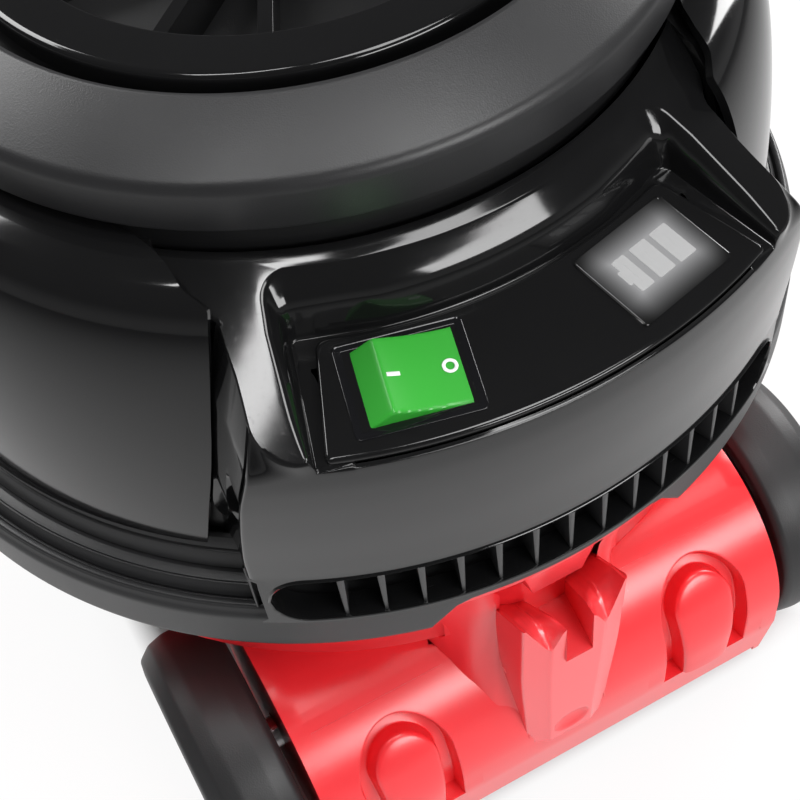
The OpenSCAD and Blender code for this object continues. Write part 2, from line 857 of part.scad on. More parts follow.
module exhaust_grille() {
    back = vent_r - cover_t - 10;
    front = vent_r - cover_t;
    color("#202020") {
        difference() {
            wedge(-vent_half_deg - 0.4, vent_half_deg + 0.4)
                translate([back, vent_z - 1.5]) square([front - back - eps, vent_h + 3]);
            vent_cut(back - 5, front + 5);
            for (side = [-1, 1]) translate([side * (pod_half - cover_t - 0.1) - (side < 0 ? big : 0), 0, 0])
                cube([big, big, big]);
        }
        for (i = [0 : fin_count - 1])
            rotate([0, 0, -(i - (fin_count - 1) / 2) * fin_step])
                intersection() {
                    translate([-fin_t / 2, back, vent_z - 0.5]) cube([fin_t, 20, vent_h + 1]);
                    cylinder(r = vent_r - 0.8, h = big);
                    union() {
                        cylinder(r = front - 0.5, h = big);
                        translate([0, 0, vent_z + 0.2]) cylinder(r = big, h = vent_h - 0.4);
                    }
                }
    }
}

module control_panel() {
    color("#191919") difference() {
        union() {
            wedge(-panel_half_deg, panel_half_deg) polygon([
                [panel_r, panel_z], [panel_front_r, panel_front_z],
                [panel_front_r, panel_front_z - panel_t], [panel_r, panel_z - panel_t]
            ]);
            for (x = [-post_x, post_x], y = [board_y + post_r + 0.5, board_y + board_l - post_r - 0.5])
                translate([x, y, panel_z - board_drop])
                    cylinder(r = post_r, h = board_drop - panel_t / 2 - (norm([x, y]) - panel_r) * tan(panel_tilt));
        }
        on_panel(control_az) cube([rocker_l + 1.4, rocker_w + 1.4, 20], center = true);
        on_panel(-control_az) cube([gauge_l, gauge_w, 20], center = true);
    }
}

module rocker_bezel() {
    color("#101010") on_panel(control_az) difference() {
        union() {
            translate([-rocker_l / 2 - bezel_lip - 0.3, -rocker_w / 2 - bezel_lip - 0.3, 0.02])
                cube([rocker_l + 2 * bezel_lip + 0.6, rocker_w + 2 * bezel_lip + 0.6, 0.9]);
            translate([-rocker_l / 2 - 0.7, -rocker_w / 2 - 0.7, -bezel_depth])
                cube([rocker_l + 1.4, rocker_w + 1.4, bezel_depth + 0.5]);
        }
        translate([-rocker_l / 2 - gap, -rocker_w / 2 - gap, -bezel_depth + bezel_wall])
            cube([rocker_l + 2 * gap, rocker_w + 2 * gap, bezel_depth + 5]);
        translate([0, rocker_w / 2 + 5, rocker_pivot]) rotate([90, 0, 0])
            cylinder(r = rocker_pin_r, h = rocker_w + 10, $fn = 48);
    }
}

module rocker() {
    half = rocker_l / 2 - 0.3;
    color("#38a038") on_panel(control_az) difference() {
        translate([0, rocker_w / 2, 0]) rotate([90, 0, 0]) linear_extrude(rocker_w) polygon([
            [-half, -1.5], [-half, 0.6], [-4, 1.5], [0.24 * rocker_l, rocker_ridge],
            [half, -0.8], [half, -2], [4, -6], [-4, -6], [-half + 3.5, -3.5]
        ]);
        translate([0, rocker_w / 2 + 1, rocker_pivot]) rotate([90, 0, 0])
            cylinder(r = rocker_pin_r + run, h = rocker_w + 2, $fn = 48);
    }
}

module rocker_pin() {
    color("silver") on_panel(control_az)
        translate([0, rocker_w / 2 + 0.7, rocker_pivot]) rotate([90, 0, 0])
            cylinder(r = rocker_pin_r, h = rocker_w + 1.4, $fn = 48);
}

module bar_places() {
    translate([-7.75, -0.25, 0]) square([5.9, 11.5], center = true);
    translate([-0.25, -0.4, 0]) square([5.7, 11.4], center = true);
    translate([6.85, -0.55, 0]) square([4.5, 11.3], center = true);
    translate([9.5, -0.6, 0]) square([1, 5], center = true);
}

module gauge_lens() {
    color("#0c0c0c") on_panel(-control_az) difference() {
        translate([-gauge_l / 2, -gauge_w / 2, lens_proud - lens_t]) cube([gauge_l, gauge_w, lens_t]);
        translate([0, 0, -10]) linear_extrude(20) bar_places();
    }
}

module gauge_bars() {
    color("#e8e8e8") on_panel(-control_az)
        translate([0, 0, lens_proud - lens_t]) linear_extrude(lens_t) bar_places();
}

module control_board() {
    color("darkgreen") translate([-board_half, board_y, panel_z - board_drop - board_t])
        cube([2 * board_half, board_l, board_t]);
}

module top_ring() {
    color("#3c3c3c") difference() {
        rotate_extrude() polygon([
            [ring_in_r - 2, web_z], [neck_r + 1.6, web_z], [neck_r + 1.6, ring_z], [ring_r - 0.6, ring_z],
            [ring_r, top_z - 12], [ring_r - 1.7, top_z - 8.6], [ring_r - 6.7, top_z - 5.8],
            [ring_in_r + 0.6, top_z], [ring_in_r - 2, top_z - 2.6]
        ]);
        handle_pin_holes();
    }
}

module handle_pin_holes() {
    translate([0, 0, pivot_z]) x_cylinder(pivot_r, 2 * handle_in_r + 20);
}

module top_disc() {
    color("#1a1a1a") rotate_extrude() polygon([
        [well_r + 0.3, web_z], [well_r + 3, web_z], [well_r + 3, disc_top - 3], [disc_r - 3, disc_top - 3],
        [disc_r - 3, web_z], [disc_r, web_z], [disc_r, disc_top - 1.5], [disc_r - 1.5, disc_top],
        [well_r + 0.3, disc_top]
    ]);
}

module battery_bay() {
    color("#1d1d1d") difference() {
        rotate_extrude() polygon([
            [0, bay_floor - bay_wall], [well_r + bay_wall, bay_floor - bay_wall],
            [well_r + bay_wall, bay_flange_z], [neck_r + 1, bay_flange_z], [neck_r + 1, web_z],
            [well_r, web_z], [well_r, bay_floor], [0, bay_floor]
        ]);
        contact_places(0);
    }
}

module contact_places(g) {
    for (x = [-15, -5, 5, 15])
        translate([x - 1 - g, -6 - g, bay_floor - bay_wall])
            cube([2 + 2 * g, 12 + 2 * g, bay_wall + 10 + g]);
}

module battery_contacts() {
    color("goldenrod") contact_places(0);
}

module battery_pack() {
    color("#222222") difference() {
        translate([0, 0, bay_floor + 0.1]) cylinder(r = battery_r, h = battery_h);
        contact_places(0.5);
    }
}

module battery_grip() {
    grip_z = bay_floor + 0.1 + battery_h;
    grip_h = disc_top - 4 - grip_z;
    color("#303030") translate([0, 0, grip_z]) {
        difference() {
            union() {
                cylinder(r = 24, h = grip_h);
                for (side = [-1, 1], az = [25, 48.5, 90, 131.5, 155])
                    rotate([0, 0, 90 - side * az]) translate([20, -2, 0]) cube([battery_r - 22.5, 4, grip_h - 2]);
            }
            translate([0, 0, 3]) cylinder(r = 20, h = grip_h);
        }
    }
}

module carry_handle() {
    color("#262626") difference() {
        union() {
            difference() {
                wedge(90, 270) translate([handle_in_r, handle_z]) square([handle_t, handle_h]);
                translate([-big / 2, -10, 0]) cube([big, big, big]);
            }
            for (side = [-1, 1]) mirror_x(side) {
                translate([handle_in_r, 0, pivot_z]) rotate([0, 90, 0]) cylinder(r = handle_eye_r, h = handle_t - 1);
                translate([handle_in_r, -10.5, pivot_z - handle_eye_r]) cube([handle_t - 1, 10.5, handle_h - 3]);
            }
        }
        translate([0, 0, pivot_z]) x_cylinder(pivot_r + run, big);
    }
}

module handle_pins() {
    inner = neck_r + 1.6;
    outer = handle_in_r + handle_t - 1 + 0.2;
    color("silver") for (side = [-1, 1]) mirror_x(side) translate([0, 0, pivot_z]) {
        translate([inner, 0, 0]) rotate([0, 90, 0]) cylinder(r = pivot_r, h = outer - inner);
        translate([outer, 0, 0]) rotate([0, 90, 0]) cylinder(r = pivot_cap_r, h = pivot_cap_t);
    }
}

module motor_housing() {
    color("gray") translate([0, 0, motor_z]) difference() {
        cylinder(r = motor_r, h = motor_top - motor_z);
        translate([0, 0, -1]) cylinder(r = motor_r - motor_wall, h = fan_z - motor_z + fan_h + 5);
        translate([0, 0, fan_z - motor_z]) cylinder(r = shaft_r + run, h = motor_top - fan_z - 13);
        translate([0, 0, motor_top - motor_z - 10]) cylinder(r = shaft_r + 6, h = 6);
        for (i = [0 : 11]) rotate([0, 0, 30 * i])
            translate([motor_r - 8, -3, fan_z - motor_z]) cube([20, 6, fan_h]);
    }
}

module motor_shaft() {
    color("silver") translate([0, 0, fan_z]) cylinder(r = shaft_r, h = motor_top - fan_z - 14);
}

module fan() {
    color("lightgray") translate([0, 0, fan_z]) difference() {
        union() {
            cylinder(r = fan_r, h = 1.5);
            for (i = [0 : 8]) rotate([0, 0, 40 * i])
                translate([shaft_r + 3, 0, 0]) cube([fan_r - shaft_r - 5, 1.5, fan_h - 1]);
            cylinder(r = shaft_r + 4, h = fan_h);
        }
        translate([0, 0, -1]) cylinder(r = shaft_r, h = 30);
    }
}

module filter_cage() {
    color("#444444") {
        difference() {
            translate([0, 0, cage_z]) cylinder(r = cage_r, h = tray_z - cage_z);
            translate([0, 0, cage_z + cage_t]) cylinder(r = cage_r - cage_t, h = big);
            for (i = [0 : 11]) rotate([0, 0, 30 * i])
                translate([cage_r - 6, -8, cage_z + 8]) cube([20, 16, tray_z - cage_z - 16]);
        }
    }
}

module filter() {
    color("white") translate([0, 0, cage_z + cage_t]) linear_extrude(tray_z - cage_z - cage_t) difference() {
        polygon([for (i = [0 : 2 * pleats - 1])
            let (r = filter_r + (i % 2 == 0 ? 0 : -filter_t / 2))
            [r * cos(180 * i / pleats), r * sin(180 * i / pleats)]]);
        circle(r = filter_r - filter_t);
    }
}

chassis();
chassis_screws();
tub();
tub_seal();
rim_band();
rear_housing();
tool_dock();
rear_axle();
wheel_left();
wheel_right();
tyre_left();
tyre_right();
hub_cap_left();
hub_cap_right();
castor_fork_left();
castor_fork_right();
castor_wheel_left();
castor_wheel_right();
castor_axle_left();
castor_axle_right();
hose_inlet();
inlet_seal();
latch_left();
latch_right();
latch_pins();
head_base();
head_shell();
side_panel_left();
side_panel_right();
front_panel();
pod_cover();
exhaust_grille();
control_panel();
rocker_bezel();
rocker();
rocker_pin();
gauge_lens();
gauge_bars();
control_board();
top_ring();
top_disc();
battery_bay();
battery_contacts();
battery_pack();
battery_grip();
carry_handle();
handle_pins();
motor_housing();
motor_shaft();
fan();
filter_cage();
filter();
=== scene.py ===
"""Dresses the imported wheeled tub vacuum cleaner: smooth covers, mouldings, controls and finishes.

Sizes are in millimetres in the code and become metres when a mesh is made. +Z is up, the controls
face +Y, the floor is z = 0, and azimuths are degrees from +Y towards +X.
"""
import json
import math

import bmesh
import bpy
import numpy as np
from mathutils import Matrix, Vector


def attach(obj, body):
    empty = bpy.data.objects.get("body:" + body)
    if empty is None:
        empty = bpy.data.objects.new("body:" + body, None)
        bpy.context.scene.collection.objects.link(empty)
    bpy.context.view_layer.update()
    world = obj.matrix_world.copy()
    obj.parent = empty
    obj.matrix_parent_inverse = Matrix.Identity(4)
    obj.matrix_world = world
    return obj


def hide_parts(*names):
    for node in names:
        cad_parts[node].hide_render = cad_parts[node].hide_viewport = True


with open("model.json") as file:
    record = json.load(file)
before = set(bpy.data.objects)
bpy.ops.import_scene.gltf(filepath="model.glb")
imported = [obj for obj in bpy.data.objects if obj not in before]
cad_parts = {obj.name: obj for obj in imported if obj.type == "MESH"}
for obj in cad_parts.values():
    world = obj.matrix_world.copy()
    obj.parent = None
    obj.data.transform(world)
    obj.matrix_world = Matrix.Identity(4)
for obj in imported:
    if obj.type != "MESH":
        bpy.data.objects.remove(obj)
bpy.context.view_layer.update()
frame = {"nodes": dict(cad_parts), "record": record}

MM = 0.001
# halves of a corner's angle, in radians, from which it gets no arc, or only a short one
STRAIGHT, NEARLY_STRAIGHT = 1.56, 1.45
# an arc of this angle, in radians, has the full number of steps
FULL_ARC = 1.57

# ---- Surfaces ----


def polar(r, az, z):
    """Points at radius r, azimuth az in degrees and height z."""
    r, az, z = np.broadcast_arrays(np.asarray(r, float), np.asarray(az, float), np.asarray(z, float))
    a = np.radians(az)
    return np.stack([r * np.sin(a), r * np.cos(a), z], -1)


def rounded(points, radii, steps=6):
    """Polyline whose corners are arcs: each corner is replaced by the arc of the given radius
    that is tangent to both of its legs, cut short where a leg is short."""
    pts = [np.asarray(p, float) for p in points]
    out = [pts[0]]
    for i in range(1, len(pts) - 1):
        p, a, b = pts[i], pts[i - 1] - pts[i], pts[i + 1] - pts[i]
        la, lb = np.linalg.norm(a), np.linalg.norm(b)
        r = radii[i] if hasattr(radii, "__len__") else radii
        cos = np.clip(a @ b / (la * lb), -1, 1)
        half = math.acos(cos) / 2
        if r <= 0 or half > STRAIGHT:
            out.append(p)
            continue
        t = min(r / math.tan(half), 0.49 * la, 0.49 * lb)
        r = t * math.tan(half)
        ua, ub = a / la, b / lb
        centre = p + (ua + ub) / np.linalg.norm(ua + ub) * r / math.sin(half)
        u, v = p + ua * t - centre, p + ub * t - centre
        ang = math.acos(np.clip(u @ v / (r * r), -1, 1))
        n = max(2, int(steps * ang / FULL_ARC) + 1)
        for k in range(n + 1):
            s = k / n
            w = (math.sin((1 - s) * ang) * u + math.sin(s * ang) * v) / math.sin(ang)
            out.append(centre + w)
    out.append(pts[-1])
    return np.array(out)


def fillet(points, radii, steps=6, fill=0):
    """Polyline whose corners are parabolas (1-s)^2 a + 2s(1-s) p + s^2 b between two points a and b
    a tangent's length from the corner p. Lines with as many points give as many vertices, so that
    neighbours join into a grid; fill adds points to the straight stretches."""
    pts = [np.asarray(p, float) for p in points]
    part = np.linspace(0, 1, steps + 1)[:, None]
    out = [pts[0][None]]
    for i in range(1, len(pts) - 1):
        p, a, b = pts[i], pts[i - 1] - pts[i], pts[i + 1] - pts[i]
        la, lb = max(np.linalg.norm(a), 1e-9), max(np.linalg.norm(b), 1e-9)
        half = math.acos(np.clip(a @ b / (la * lb), -1, 1)) / 2
        if half < NEARLY_STRAIGHT:
            t = min(radii[i] / max(math.tan(half), 1e-3), 0.47 * la, 0.47 * lb)
        else:
            t = min(radii[i] * 0.3, 0.4 * la, 0.4 * lb)
        s, e = p + a / la * t, p + b / lb * t
        corner = (1 - part) ** 2 * s + 2 * part * (1 - part) * p + part ** 2 * e
        if fill:
            out.append(out[-1][-1] + (corner[0] - out[-1][-1]) * np.linspace(0, 1, fill + 2)[1:-1, None])
        out.append(corner)
    if fill:
        out.append(out[-1][-1] + (pts[-1] - out[-1][-1]) * np.linspace(0, 1, fill + 2)[1:-1, None])
    out.append(pts[-1][None])
    return np.concatenate(out)


def lengths(curve):
    """Arc length from a polyline's start to each of its vertices."""
    return np.r_[0, np.cumsum(np.linalg.norm(np.diff(curve, axis=0), axis=1))]


def along(curve, stations):
    """Points at shares of a polyline's length."""
    d = lengths(curve)
    return np.stack([np.interp(stations, d / d[-1], curve[:, k]) for k in range(curve.shape[1])], -1)


def resample(curve, n):
    """n points at equal steps of arc length along a polyline."""
    return along(curve, np.linspace(0, 1, n))


def share(curve, point):
    """Share of a polyline's length at its vertex nearest to a point."""
    d = lengths(curve)
    return d[np.argmin(np.hypot(*(curve - point).T))] / d[-1]


def revolved(profile, az0=0.0, az1=360.0, n=192):
    """A profile of (r, z) pairs turned about the Z axis from az0 to az1."""
    az = np.linspace(az0, az1, n + 1)[:, None]
    p = np.asarray(profile, float)
    return polar(p[None, :, 0], az, p[None, :, 1])


def x_revolved(profile, x_sign, y0, z0, n):
    """A profile of (r, x) pairs turned about the wheels' axis at (y0, z0)."""
    a = np.linspace(0, 2 * np.pi, n + 1)[:, None]
    p = np.asarray(profile, float)
    x = np.broadcast_to(p[None, :, 1] * x_sign, (n + 1, len(p)))
    return np.stack([x, y0 + p[None, :, 0] * np.cos(a), z0 + p[None, :, 0] * np.sin(a)], -1)


def facing(points, direction):
    """True where a grid's faces must be turned round to look along the direction."""
    p = np.asarray(points, float)
    n = np.cross(p[1:, :-1] - p[:-1, :-1], p[:-1, 1:] - p[:-1, :-1]).sum((0, 1))
    return bool(n @ np.asarray(direction, float) < 0)


def smoothstep(a, b, t):
    """0 below a, 1 above b, and the cubic 3s^2 - 2s^3 of the share s between."""
    s = np.clip((t - a) / (b - a), 0, 1)
    return s * s * (3 - 2 * s)


def quads(nu, nv, base, flip):
    """Faces of an nu by nv grid of vertices."""
    i, j = np.meshgrid(np.arange(nu - 1), np.arange(nv - 1), indexing="ij")
    a = base + (i * nv + j).ravel()
    q = np.stack([a, a + nv, a + nv + 1, a + 1], -1)
    return q[:, ::-1] if flip else q


class Piece:
    """A piece of the scene, gathered from grids of points and made into one mesh."""

    def __init__(self, name):
        self.name, self.verts, self.faces, self.count = name, [], [], 0

    def grid(self, points, flip=False):
        """A grid of points, as rows of quads; flip turns them round."""
        p = np.asarray(points, float)
        nu, nv = p.shape[:2]
        self.verts.append(p.reshape(-1, 3))
        self.faces.append(quads(nu, nv, self.count, flip))
        self.count += nu * nv
        return self

    def mirrored(self, points, flip=False):
        """The grid and its mirror image in the plane x = 0."""
        self.grid(points, flip)
        return self.grid(np.asarray(points, float) * np.array([-1, 1, 1]), not flip)

    def skin(self, points, outwards):
        """A grid whose faces look along a direction."""
        return self.grid(points, facing(points, outwards))

    def pair(self, points, outwards):
        """A grid and its mirror image in the plane x = 0, which look along a direction and its image."""
        for side in (1, -1):
            self.skin(points * np.array([side, 1, 1]), np.array(outwards) * (side, 1, 1))

    def fan(self, loop, flip=False):
        """A closed loop of points filled from its middle."""
        p = np.asarray(loop, float)
        return self.grid(np.stack([p, np.broadcast_to(p.mean(0), p.shape)], 1), flip)

    def make(self, slot, body, *nodes, weld=0.002, outward=False, **finish):
        """The piece's mesh, its doubles merged; outward has the normals worked out again."""
        mesh = bpy.data.meshes.new(self.name)
        verts = np.concatenate(self.verts) * MM
        faces = np.concatenate(self.faces)
        mesh.from_pydata(verts.tolist(), [], faces.tolist())
        bm = bmesh.new()
        bm.from_mesh(mesh)
        bmesh.ops.remove_doubles(bm, verts=bm.verts, dist=weld * MM)
        bmesh.ops.dissolve_degenerate(bm, dist=1e-7, edges=bm.edges)
        if outward:
            bmesh.ops.recalc_face_normals(bm, faces=bm.faces)
        bm.to_mesh(mesh)
        bm.free()
        obj = bpy.data.objects.new(self.name, mesh)
        bpy.context.scene.collection.objects.link(obj)
        return finish_piece(obj, slot, body, *nodes, **finish)


def finish_piece(obj, slot, body, *nodes, material=None, wall=0.0, bevel=0.0, sharp=35.0, segments=2):
    """Gives a piece its material, which is its slot's unless another is named, smooth shading, a
    wall and rounded edges where asked for, and its body, and hides the CAD nodes it stands for."""
    mesh = obj.data
    mesh.materials.clear()
    mesh.materials.append(material or SLOT_FINISH[slot])
    mesh.shade_smooth()
    mesh.set_sharp_from_angle(angle=math.radians(sharp))
    if wall:
        m = obj.modifiers.new("wall", "SOLIDIFY")
        m.thickness, m.offset = wall * MM, -1.0
        m.use_quality_normals = True
    if bevel:
        m = obj.modifiers.new("edges", "BEVEL")
        m.width, m.segments, m.limit_method = bevel * MM, segments, "ANGLE"
        m.angle_limit = math.radians(35)
        m.harden_normals = True
    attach(obj, body)
    if nodes:
        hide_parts(*nodes)
    return obj


def refined(node, slot, body, planes=(), drop=None, draw=None, **finish):
    """A welded copy of a CAD node with rounded edges, which stands for it. The planes cut its faces,
    drop leaves out the faces whose middle it is true for, where other pieces take their place, and
    draw gives each vertex its new place."""
    src = frame["nodes"][node]
    mesh = src.data.copy()
    mesh.name = node + "_moulding"
    bm = bmesh.new()
    bm.from_mesh(mesh)
    bmesh.ops.remove_doubles(bm, verts=bm.verts, dist=0.02 * MM)
    bmesh.ops.dissolve_limit(bm, angle_limit=math.radians(0.8), verts=bm.verts, edges=bm.edges)
    for co, no in planes:
        cut = bm.verts[:] + bm.edges[:] + bm.faces[:]
        bmesh.ops.bisect_plane(bm, geom=cut, plane_co=Vector(co) * MM, plane_no=no)
    if drop:
        gone = [f for f in bm.faces if drop(f.calc_center_median() / MM)]
        bmesh.ops.delete(bm, geom=gone, context="FACES")
    if draw:
        for v in bm.verts:
            v.co = Vector(draw(*(v.co / MM))) * MM
    bm.to_mesh(mesh)
    bm.free()
    obj = bpy.data.objects.new(node + "_moulding", mesh)
    bpy.context.scene.collection.objects.link(obj)
    return finish_piece(obj, slot, body, node, sharp=30, **finish)


# ---- Materials ----


def feed(tree, socket, value):
    """Links a socket to its source, or gives it a number, a vector or a colour."""
    if isinstance(value, Sock):
        tree.links.new(value.out, socket)
    else:
        socket.default_value = (*value, 1.0) if socket.type == "RGBA" else value


class Sock:
    """A shader socket whose arithmetic adds Math nodes."""

    def __init__(self, tree, out):
        self.tree, self.out = tree, out

    def op(self, kind, *values):
        """The result of a Math node of a kind on one or two values."""
        n = self.tree.nodes.new("ShaderNodeMath")
        n.operation = kind
        for i, value in enumerate(values):
            feed(self.tree, n.inputs[i], value)
        return Sock(self.tree, n.outputs[0])

    def __add__(self, o):
        return self.op("ADD", self, o)

    def __radd__(self, o):
        return self.op("ADD", o, self)

    def __sub__(self, o):
        return self.op("SUBTRACT", self, o)

    def __rsub__(self, o):
        return self.op("SUBTRACT", o, self)

    def __mul__(self, o):
        return self.op("MULTIPLY", self, o)

    def __rmul__(self, o):
        return self.op("MULTIPLY", o, self)

    def __truediv__(self, o):
        return self.op("DIVIDE", self, o)

    def __rtruediv__(self, o):
        return self.op("DIVIDE", o, self)

    def __pow__(self, o):
        return self.op("POWER", self, o)

    def __abs__(self):
        return self.op("ABSOLUTE", self)

    def root(self):
        return self.op("SQRT", self)

    def at_least(self, o):
        return self.op("MAXIMUM", self, o)

    def clamped(self):
        return self.op("MINIMUM", self.at_least(0.0), 1.0)


class Finish:
    """A material under construction: one Principled shader and the nodes that feed it."""

    def __init__(self, name, **sockets):
        self.material = bpy.data.materials.new(name)
        self.material.use_nodes = True
        self.tree = self.material.node_tree
        self.shader = self.tree.nodes["Principled BSDF"]
        for key, value in sockets.items():
            self.set(key.replace("_", " ").title().replace("Ior", "IOR"), value)

    def set(self, socket, value):
        feed(self.tree, self.shader.inputs[socket], value)

    def node(self, kind, settings=None, out=0, **inputs):
        """Output number out of a new node, whose inputs go by name, or by number as i0, i1."""
        n = self.tree.nodes.new("ShaderNode" + kind)
        for key, value in (settings or {}).items():
            setattr(n, key, value)
        for key, value in inputs.items():
            by_number = key[0] == "i" and key[1:].isdigit()
            feed(self.tree, n.inputs[int(key[1:]) if by_number else key.replace("_", " ")], value)
        return Sock(self.tree, n.outputs[out])

    def place(self):
        """Object coordinates, in metres."""
        return self.node("TexCoord", out=3)

    def noise(self, scale, detail=3.0, rough=0.5):
        """Soft noise of a scale per metre."""
        return self.node("TexNoise", Vector=self.place(), Scale=scale, Detail=detail, Roughness=rough)

    def mix(self, factor, a, b):
        """The colour a where the factor is 0 and b where it is 1."""
        return self.node("Mix", {"data_type": "RGBA"}, out=2, i0=factor, i6=a, i7=b)

    def reach(self, vector, direction):
        """How far a vector reaches along a direction."""
        return self.node("VectorMath", {"operation": "DOT_PRODUCT"}, out=1, i0=vector, i1=direction)

    def bump(self, height, strength, distance):
        self.set("Normal", self.node("Bump", Height=height, Strength=strength, Distance=distance))


def gloss(name, colour, rough, wave=0.10, dust=1.0, **extra):
    """Polished moulded plastic: a faint orange-peel wave, fine dust and rubbing marks in the roughness."""
    f = Finish(name, **extra)
    speck = ((f.noise(900.0, 2.0) - 0.62) * 6.0).clamped()
    haze = f.noise(35.0, 4.0, 0.6)
    paler = tuple(min(1, c * 1.5 + 0.006) for c in colour)
    f.set("Base Color", f.mix(speck * (0.10 * dust) + haze * 0.12, colour, paler))
    f.set("Roughness", haze * 0.05 + speck * (0.06 * dust) + rough)
    f.bump(f.noise(140.0, 1.0), wave, 0.0002)
    return f.material


def textured(name, colour, rough, grain=2200.0, strength=0.25):
    """Spark-eroded moulded plastic: fine even grain, slightly polished where it is rubbed."""
    f = Finish(name)
    pits = f.node("TexVoronoi", Vector=f.place(), Scale=grain)
    haze = f.noise(28.0, 4.0, 0.55)
    darker = tuple(c * 0.82 for c in colour)
    paler = tuple(min(1, c * 1.2 + 0.002) for c in colour)
    f.set("Base Color", f.mix(haze * 0.5 + pits * 0.25, darker, paler))
    f.set("Roughness", rough - 0.08 + haze * 0.14)
    f.bump(pits, strength, 0.0001)
    return f.material


def metal(name, colour, rough):
    """Drawn or turned metal with fine streaks along X."""
    f = Finish(name, metallic=1.0)
    drawn = f.node("Mapping", Vector=f.place(), Scale=(60.0, 900.0, 900.0))
    streak = f.node("TexNoise", Vector=drawn, Scale=3.0, Detail=3.0)
    f.set("Base Color", f.mix(streak, tuple(c * 0.8 for c in colour), colour))
    f.set("Roughness", streak * 0.15 + rough)
    f.bump(streak, 0.1, 0.0001)
    return f.material


def lit(name, strength, grey):
    """Lit diffuser: an even white light, a little weaker in its grain."""
    f = Finish(name, roughness=0.5, emission_strength=strength)
    f.set("Base Color", (grey, grey, grey))
    f.set("Emission Color", f.mix(f.noise(300.0), (0.80, 0.80, 0.81), (0.92, 0.92, 0.93)))
    return f.material


# the finish of every slot
SLOT_FINISH = {
    "gloss_black": gloss("gloss_black", (0.006, 0.006, 0.0063), 0.06, wave=0.05),
    "satin_black": textured("satin_black", (0.010, 0.010, 0.0105), 0.38),
    "rim_grey": textured("rim_grey", (0.016, 0.016, 0.017), 0.40),
    "red_plastic": gloss("red_plastic", (0.80, 0.022, 0.030), 0.26, wave=0.04, dust=0.0,
                         specular_IOR_level=0.7),
    "green_plastic": gloss("green_plastic", (0.03, 0.33, 0.03), 0.27, wave=0.04, dust=0.2),
    "lens_black": gloss("lens_black", (0.006, 0.006, 0.007), 0.05, wave=0.02),
    "rubber_black": textured("rubber_black", (0.012, 0.012, 0.012), 0.62, 1500.0),
    "tyre_black": textured("tyre_black", (0.018, 0.018, 0.019), 0.48, 1800.0),
    "steel": metal("steel", (0.62, 0.62, 0.63), 0.22),
    "contact_brass": metal("contact_brass", (0.80, 0.58, 0.22), 0.25),
    "board_green": gloss("board_green", (0.01, 0.12, 0.03), 0.35),
    "motor_alloy": metal("motor_alloy", (0.50, 0.50, 0.51), 0.38),
    "fan_grey": textured("fan_grey", (0.35, 0.35, 0.36), 0.5),
    "filter_white": textured("filter_white", (0.75, 0.75, 0.72), 0.85, 700.0, 0.6),
    "lit_white": lit("lit_white", 0.26, 0.20),
}
# finishes of single pieces, a shade off their slot's
grille_black = textured("grille_black", (0.030, 0.030, 0.031), 0.34)
# the dock's red is paler than the slot's red: painted light, standing for the strong light on the dock's
# front; its stronger specular is the plastic's own
dock_red_painted_light = gloss("dock_red_painted_light", (0.84, 0.045, 0.055), 0.24, wave=0.04, dust=0.0, specular_IOR_level=0.9)
white_ink = textured("white_ink", (0.85, 0.85, 0.85), 0.5, 1200.0, 0.05)

BASE = "cleaner_body"

# ---- Forms of the head that several pieces share, in mm and degrees ----
RIM_Z, RIM_R = 155.0, 160.0
DOME_Z, DOME_TOP, DOME_R, DOME_BULGE = 191.8, 284.8, 100.0, 44.9
DOME_UP, DOME_OUT = 1.8, 7
SEAM_Y = 113.0
POCKET_R, POCKET_Z, DECK_SLOPE = 120.5, 279.0, 0.4
PANEL_R, PANEL_Z, PANEL_TILT = 130.3, 263.6, math.radians(8.4)
VENT_Z0, VENT_Z1, VENT_HALF = 175.9, 197.2, 31.3
POD_FOOT = 173.6


def dome_r(z):
    """Radius of the domed side at height z: R + B (1 - q^1.8)^(1/7), q from 0 at the foot to 1 at
    the top."""
    q = np.clip((np.asarray(z, float) - DOME_Z) / (DOME_TOP - DOME_Z), 0, 1)
    return DOME_R + DOME_BULGE * np.power(1 - np.power(q, DOME_UP), 1 / DOME_OUT)


def deck_z(p):
    """Height of the pod's deck over a plan point: a cone that falls outwards."""
    return POCKET_Z - DECK_SLOPE * (np.hypot(p[..., 0], p[..., 1]) - POCKET_R)


def panel_z(p):
    """Height of the control panel over a plan point: a flatter cone."""
    return PANEL_Z - math.tan(PANEL_TILT) * (np.hypot(p[..., 0], p[..., 1]) - PANEL_R)


def plan(pairs):
    """Plan points from (radius, azimuth) pairs."""
    p = np.asarray(pairs, float)
    return polar(p[:, 0], p[:, 1], 0)[:, :2]


def joined(*curves):
    """Curves one after the other."""
    return np.concatenate([np.asarray(c, float) for c in curves])


def arc(r, az0, az1, n=24):
    """Plan points of an arc about the Z axis."""
    return plan([(r, a) for a in np.linspace(az0, az1, n)])


# ---- Pod cover ----
# how far the pocket's floor lies under the control panel's face
FLOOR_DROP = 1.6
# azimuth of the side panels' rear edges at each height
SEAM_Z = (191.8, 200, 210, 220, 230, 240, 250, 260, 270, 278)
SEAM_AZ = (38.8, 38.1, 37.3, 36.4, 35.6, 34.9, 34.3, 33.7, 33.2, 32.9)
# height, half width, radius of the face and of its corner
FACE_LEVELS = ((256, 81.6, 166.3, 13.0), (249, 83.4, 166.4, 9.0), (240, 85.4, 165.9, 6.0),
               (225, 87.0, 164.7, 4.5), (210, 87.9, 163.3, 4.0), (VENT_Z1 + 2.2, 87.7, 162.5, 1.6))
LOW_LEVELS = (FACE_LEVELS[-1], (193, 87.6, 162.4, 1.6), (187, 87.5, 162.3, 1.6), (181, 87.4, 162.2, 1.6),
              (POD_FOOT, 87.3, 162.1, 1.6))
# share of the half pod at which its lines pass from the front wall to the corner and the arm
POD_KEYS = (0, 0.50, 0.56, 0.62, 1)


